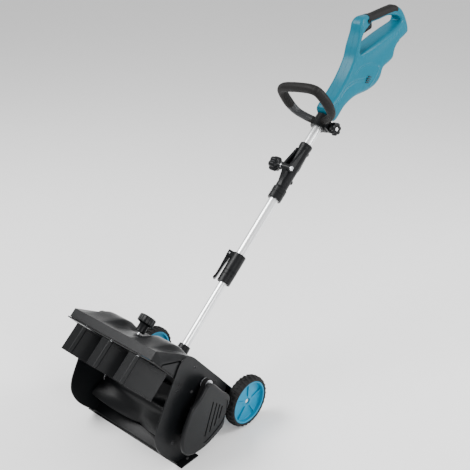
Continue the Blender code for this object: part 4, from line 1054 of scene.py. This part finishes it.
def side_faces(points, rims):
    """Fills the side between its rim and the hand hole, adding each new point at its blended height."""
    loops = [[points[i][1:] for i in ring] for ring in rims]
    heights = [(*points[i][1:], points[i][0]) for ring in rims for i in ring[::2]]
    flat = [Vector(p) for loop in loops for p in loop]
    edges, start = [], 0
    for loop in loops:
        edges += [(start + i, start + (i + 1) % len(loop)) for i in range(len(loop))]
        start += len(loop)
    verts, _, tris, origins, _, _ = delaunay_2d_cdt(flat + grid_points(flat, loops), edges, [], 0, 1e-7)
    ring_ids, index = rims[0] + rims[1], []
    for p, source in zip(verts, origins):
        known = [k for k in source if k < len(ring_ids)]
        index.append(ring_ids[known[0]] if known else len(points))
        if not known:
            points.append((side_height(p, heights), p.x, p.y))
    faces = []
    for tri in tris:
        centre = sum((verts[k] for k in tri), Vector((0, 0))) / 3
        if inside(centre, loops[0]) and not inside(centre, loops[1]):
            faces.append(tuple(index[k] for k in tri))
    return faces


def casing(side):
    """One shell: rounded edges at its rim and its hand hole, and a filled side between them."""
    points, faces, rims = [], [], []
    for stations, way in ((REAR_EDGE, 1), (HOLE_EDGE, -1)):
        levels = edge_levels(stations, way, points)
        for low, high in zip(levels, levels[1:]):
            faces += [(low[i - 1], low[i], high[i], high[i - 1]) for i in range(len(low))]
        rims.append(list(levels[-1]))
    faces += side_faces(points, rims)
    return solid("casing", [pole(side * x, a, b) for x, a, b in points], faces, "blue_plastic", sharp=50)


def rail_block(name, extra):
    front, rear = RAIL_S[0] - extra, RAIL_S[1] + extra
    outline = [(front, -0.0828 + extra), (rear, -0.09 + extra), (rear, -0.1), (front, -0.095)]
    return prism(name, outline, pole, -RAIL_HALF - extra, RAIL_HALF + extra)


# %% Both shells
TRIGGER_SLOT = mm((600, 40), (650, 28), (663, 52), (640, 64), (610, 70))
for side, word in ((-1, "left"), (1, "right")):
    shell = casing(side)
    cut(shell, prism("slot", TRIGGER_SLOT, pole, -TRIGGER_HALF - 0.0005, TRIGGER_HALF + 0.0005))
    if side > 0:
        cut(shell, rod(0.0048, pole(0.002, *BUTTON), pole(0.03, *BUTTON)))
    finish(shell, "rear_case_" + word, bevel=0)
    print(word, "casing:", len(shell.data.polygons), "faces")
    for number, (s, h) in enumerate(VENTS):
        slot_place = pole(side * 0.0262, s, h)
        run = pole(0, s - 0.005, h + 0.0085) - pole(0, s + 0.005, h - 0.0085)
        wide = run.cross(ALONG_X).normalized()
        ring = [slot_place + a * run.normalized() + b * wide
                for a, b in [(0.0055 * cos(t) + 0.003 * (1 if cos(t) > 0 else -1), 0.0013 * sin(t))
                             for t in (tau * k / 16 for k in range(16))]]
        # Each vent is a near-black insert on the shell, not an opening: painted shade for the slot's inside.
        vent = loft("vent", [[p + side * k * ALONG_X for p in ring] for k in (-0.002, 0.0036)], VENT_SHADE)
        finish(vent, bevel=0, slot="blue_plastic", body="upper").name = "vent_%s_%d" % (word, number + 1)

# %% [markdown]
# The dark grip is a soft pad moulded over the handle's back, with a fine stipple where the palm lies. The
# trigger hangs in its slot on a pin, and the round lock button beside it has to be pressed in first.

# %% Grip, trigger and button
PAD_FROM, PAD_TO, PAD_THICK, PAD_SKIRT = (0.65, 0.08), (0.762, -0.016), 0.0016, 0.005
fine_edge = spline(REAR_EDGE[::-1], 8)
edge_line = [(r[0], r[1]) for r in fine_edge]
nearest = [min(range(len(edge_line)), key=lambda i: hypot(edge_line[i][0] - p[0], edge_line[i][1] - p[1]))
           for p in (PAD_FROM, PAD_TO)]
stops = range(min(nearest), max(nearest) + 1)


def pad_ring(i, lift, waved):
    """Half the pad's section at an edge station, from the skirt on one side over the top to the other."""
    _, _, half, curve = fine_edge[i]
    curve, half = curve + lift, half + lift
    level = [inset(edge_line, moved - lift)[i] for moved in (curve + PAD_SKIRT, curve + 0.5 * PAD_SKIRT)]
    ring = [(half, *level[0]), (half, *level[1])]
    for k in range(90, -1, -10):
        turn = radians(k)
        ring.append((half - curve * (1 - sin(turn)) - waved,
                     *inset(edge_line, curve * (1 - cos(turn)) - lift + waved)[i]))
    return ring + [(-x, s, h) for x, s, h in ring[::-1]]


rings = []
for i in stops:
    near_end = min(i - stops[0], stops[-1] - i)
    lift = PAD_THICK * min(1.0, 0.35 + 0.35 * near_end)
    outer_ring = pad_ring(i, lift, 0.0003 * (i % 2) if near_end > 2 else 0.0)
    rings.append([pole(*p) for p in outer_ring + pad_ring(i, 0.0002, 0.0)[::-1]])
pad = loft("pad", rings, "grip_rubber")
cut(pad, rod(0.0048, pole(0.002, *BUTTON), pole(0.03, *BUTTON)))
finish(pad, "grip_pad", bevel=0)
print("grip pad sections:", len(rings))
TRIGGER = mm((611, 56), (616, 48), (630, 41), (643, 34), (650, 35), (656, 45.5), (660, 50), (657.5, 55),
             (650, 56), (620, 64))
trigger = prism("trigger", spline(TRIGGER, 4), pole, -TRIGGER_HALF, TRIGGER_HALF)
cut(trigger, rod(0.0018, pole(-0.02, *TRIGGER_PIVOT), pole(0.02, *TRIGGER_PIVOT)))
finish(trigger, "trigger", bevel=0.001)
pin = rod(0.0015, pole(-0.007, *TRIGGER_PIVOT), pole(0.007, *TRIGGER_PIVOT))
finish(pin, "trigger_pin", bevel=0.0002)
button = mm((3, 0), (3, 4), (4.4, 4), (4.4, 10.8), (3.6, 11.6), (2.6, 11.6), (2, 10.8))
finish(turned("button", button, pole(0.006, *BUTTON), ALONG_X, steps=36), "lock_button", bevel=0)
bezel = tube("button_bezel", 0.0068, 0.0047, 0.0165, 0.0178, pole(0, *BUTTON), ALONG_X, "black_plastic",
             lip=0.0003)
finish(bezel, bevel=0, slot="black_plastic", body="upper").name = "button_bezel"

# %% Electrics, battery rail and upper tube
switch = block(pole, (-0.007, 0.007), (0.604, 0.618), (0.074, 0.084))
fuse(switch, block(pole, (-0.002, 0.002), (0.6085, 0.6135), (0.0715, 0.0745)))
finish(switch, "switch_module")
board = block(pole, (-0.019, 0.019), (0.5, 0.6), (-0.042, -0.039))
for s, size in ((0.52, 0.006), (0.545, 0.004), (0.575, 0.007)):
    fuse(board, block(pole, (-size, size), (s - size, s + size), (-0.0395, -0.034)))
finish(board, "control_board", bevel=0.0003)
rail = rail_block("rail", 0)
for x in (-0.006, 0.0, 0.006):
    cut(rail, block(pole, (x - 0.0008, x + 0.0008), (0.69, 0.712), (-0.11, -0.093)))
for x in (-1, 1):
    cut(rail, block(pole, (x * 0.0125, x * 0.02), (0.68, 0.725), (-0.0945, -0.0915)))
finish(rail, "battery_terminal")

# %% [markdown]
# ## Setting up the studio
# The machine stands on a plain pale floor under a large soft key light from the upper left, with a broad
# fill from the right and a pale sky, as in a product studio. Soft boxes this large give black plastic its
# long gentle highlights. The camera looks down on the front right corner.

# %% Floor, lights and camera
REACH = 14
corners = [(-REACH, -REACH, 0), (REACH, -REACH, 0), (REACH, REACH, 0), (-REACH, REACH, 0)]
floor_mesh = bpy.data.meshes.new("floor")
floor_mesh.from_pydata(corners, [], [(0, 1, 2, 3)])
floor = bpy.data.objects.new("floor", floor_mesh)
floor_mesh.materials.append(grained("floor_paint", (0.92, 0.92, 0.92), 0.85, grain=0.0001, patch=0.01, edge_wear_sheen=0))
bpy.context.scene.collection.objects.link(floor)

world = bpy.data.worlds.new("studio")
world.use_nodes = True
world.node_tree.nodes["Background"].inputs["Color"].default_value = (1, 1, 1, 1)
world.node_tree.nodes["Background"].inputs["Strength"].default_value = 0.85
bpy.context.scene.world = world


def soft_box(name, place, aim, size, power):
    lamp = bpy.data.lights.new(name, "AREA")
    lamp.shape, lamp.size, lamp.size_y, lamp.energy = "RECTANGLE", size[0], size[1], power
    box = bpy.data.objects.new(name, lamp)
    box.location = place
    box.rotation_mode = "QUATERNION"
    box.rotation_quaternion = (Vector(aim) - Vector(place)).to_track_quat("-Z", "Y")
    bpy.context.scene.collection.objects.link(box)


soft_box("key", (-1.2, -0.8, 2.4), (0, 0.2, 0.3), (1.6, 1.2), 100)
soft_box("rim", (1.6, 1.6, 1.6), (0, 0.2, 0.3), (0.8, 1.6), 55)
soft_box("side", (2.2, -0.6, 0.9), (0, 0.1, 0.2), (0.7, 1.4), 32)

LENS = 63.04
CAMERA_PLACE = Vector((1.2163, -1.0397, 1.3024))
BACKWARDS = Vector((0.5932, -0.6752, 0.4384))
camera = bpy.data.objects.new("camera", bpy.data.cameras.new("camera"))
camera.data.lens, camera.data.sensor_width = LENS, 36
camera.location = CAMERA_PLACE
camera.rotation_mode = "QUATERNION"
camera.rotation_quaternion = (-BACKWARDS).to_track_quat("-Z", "Y")
bpy.context.scene.collection.objects.link(camera)
bpy.context.scene.camera = camera
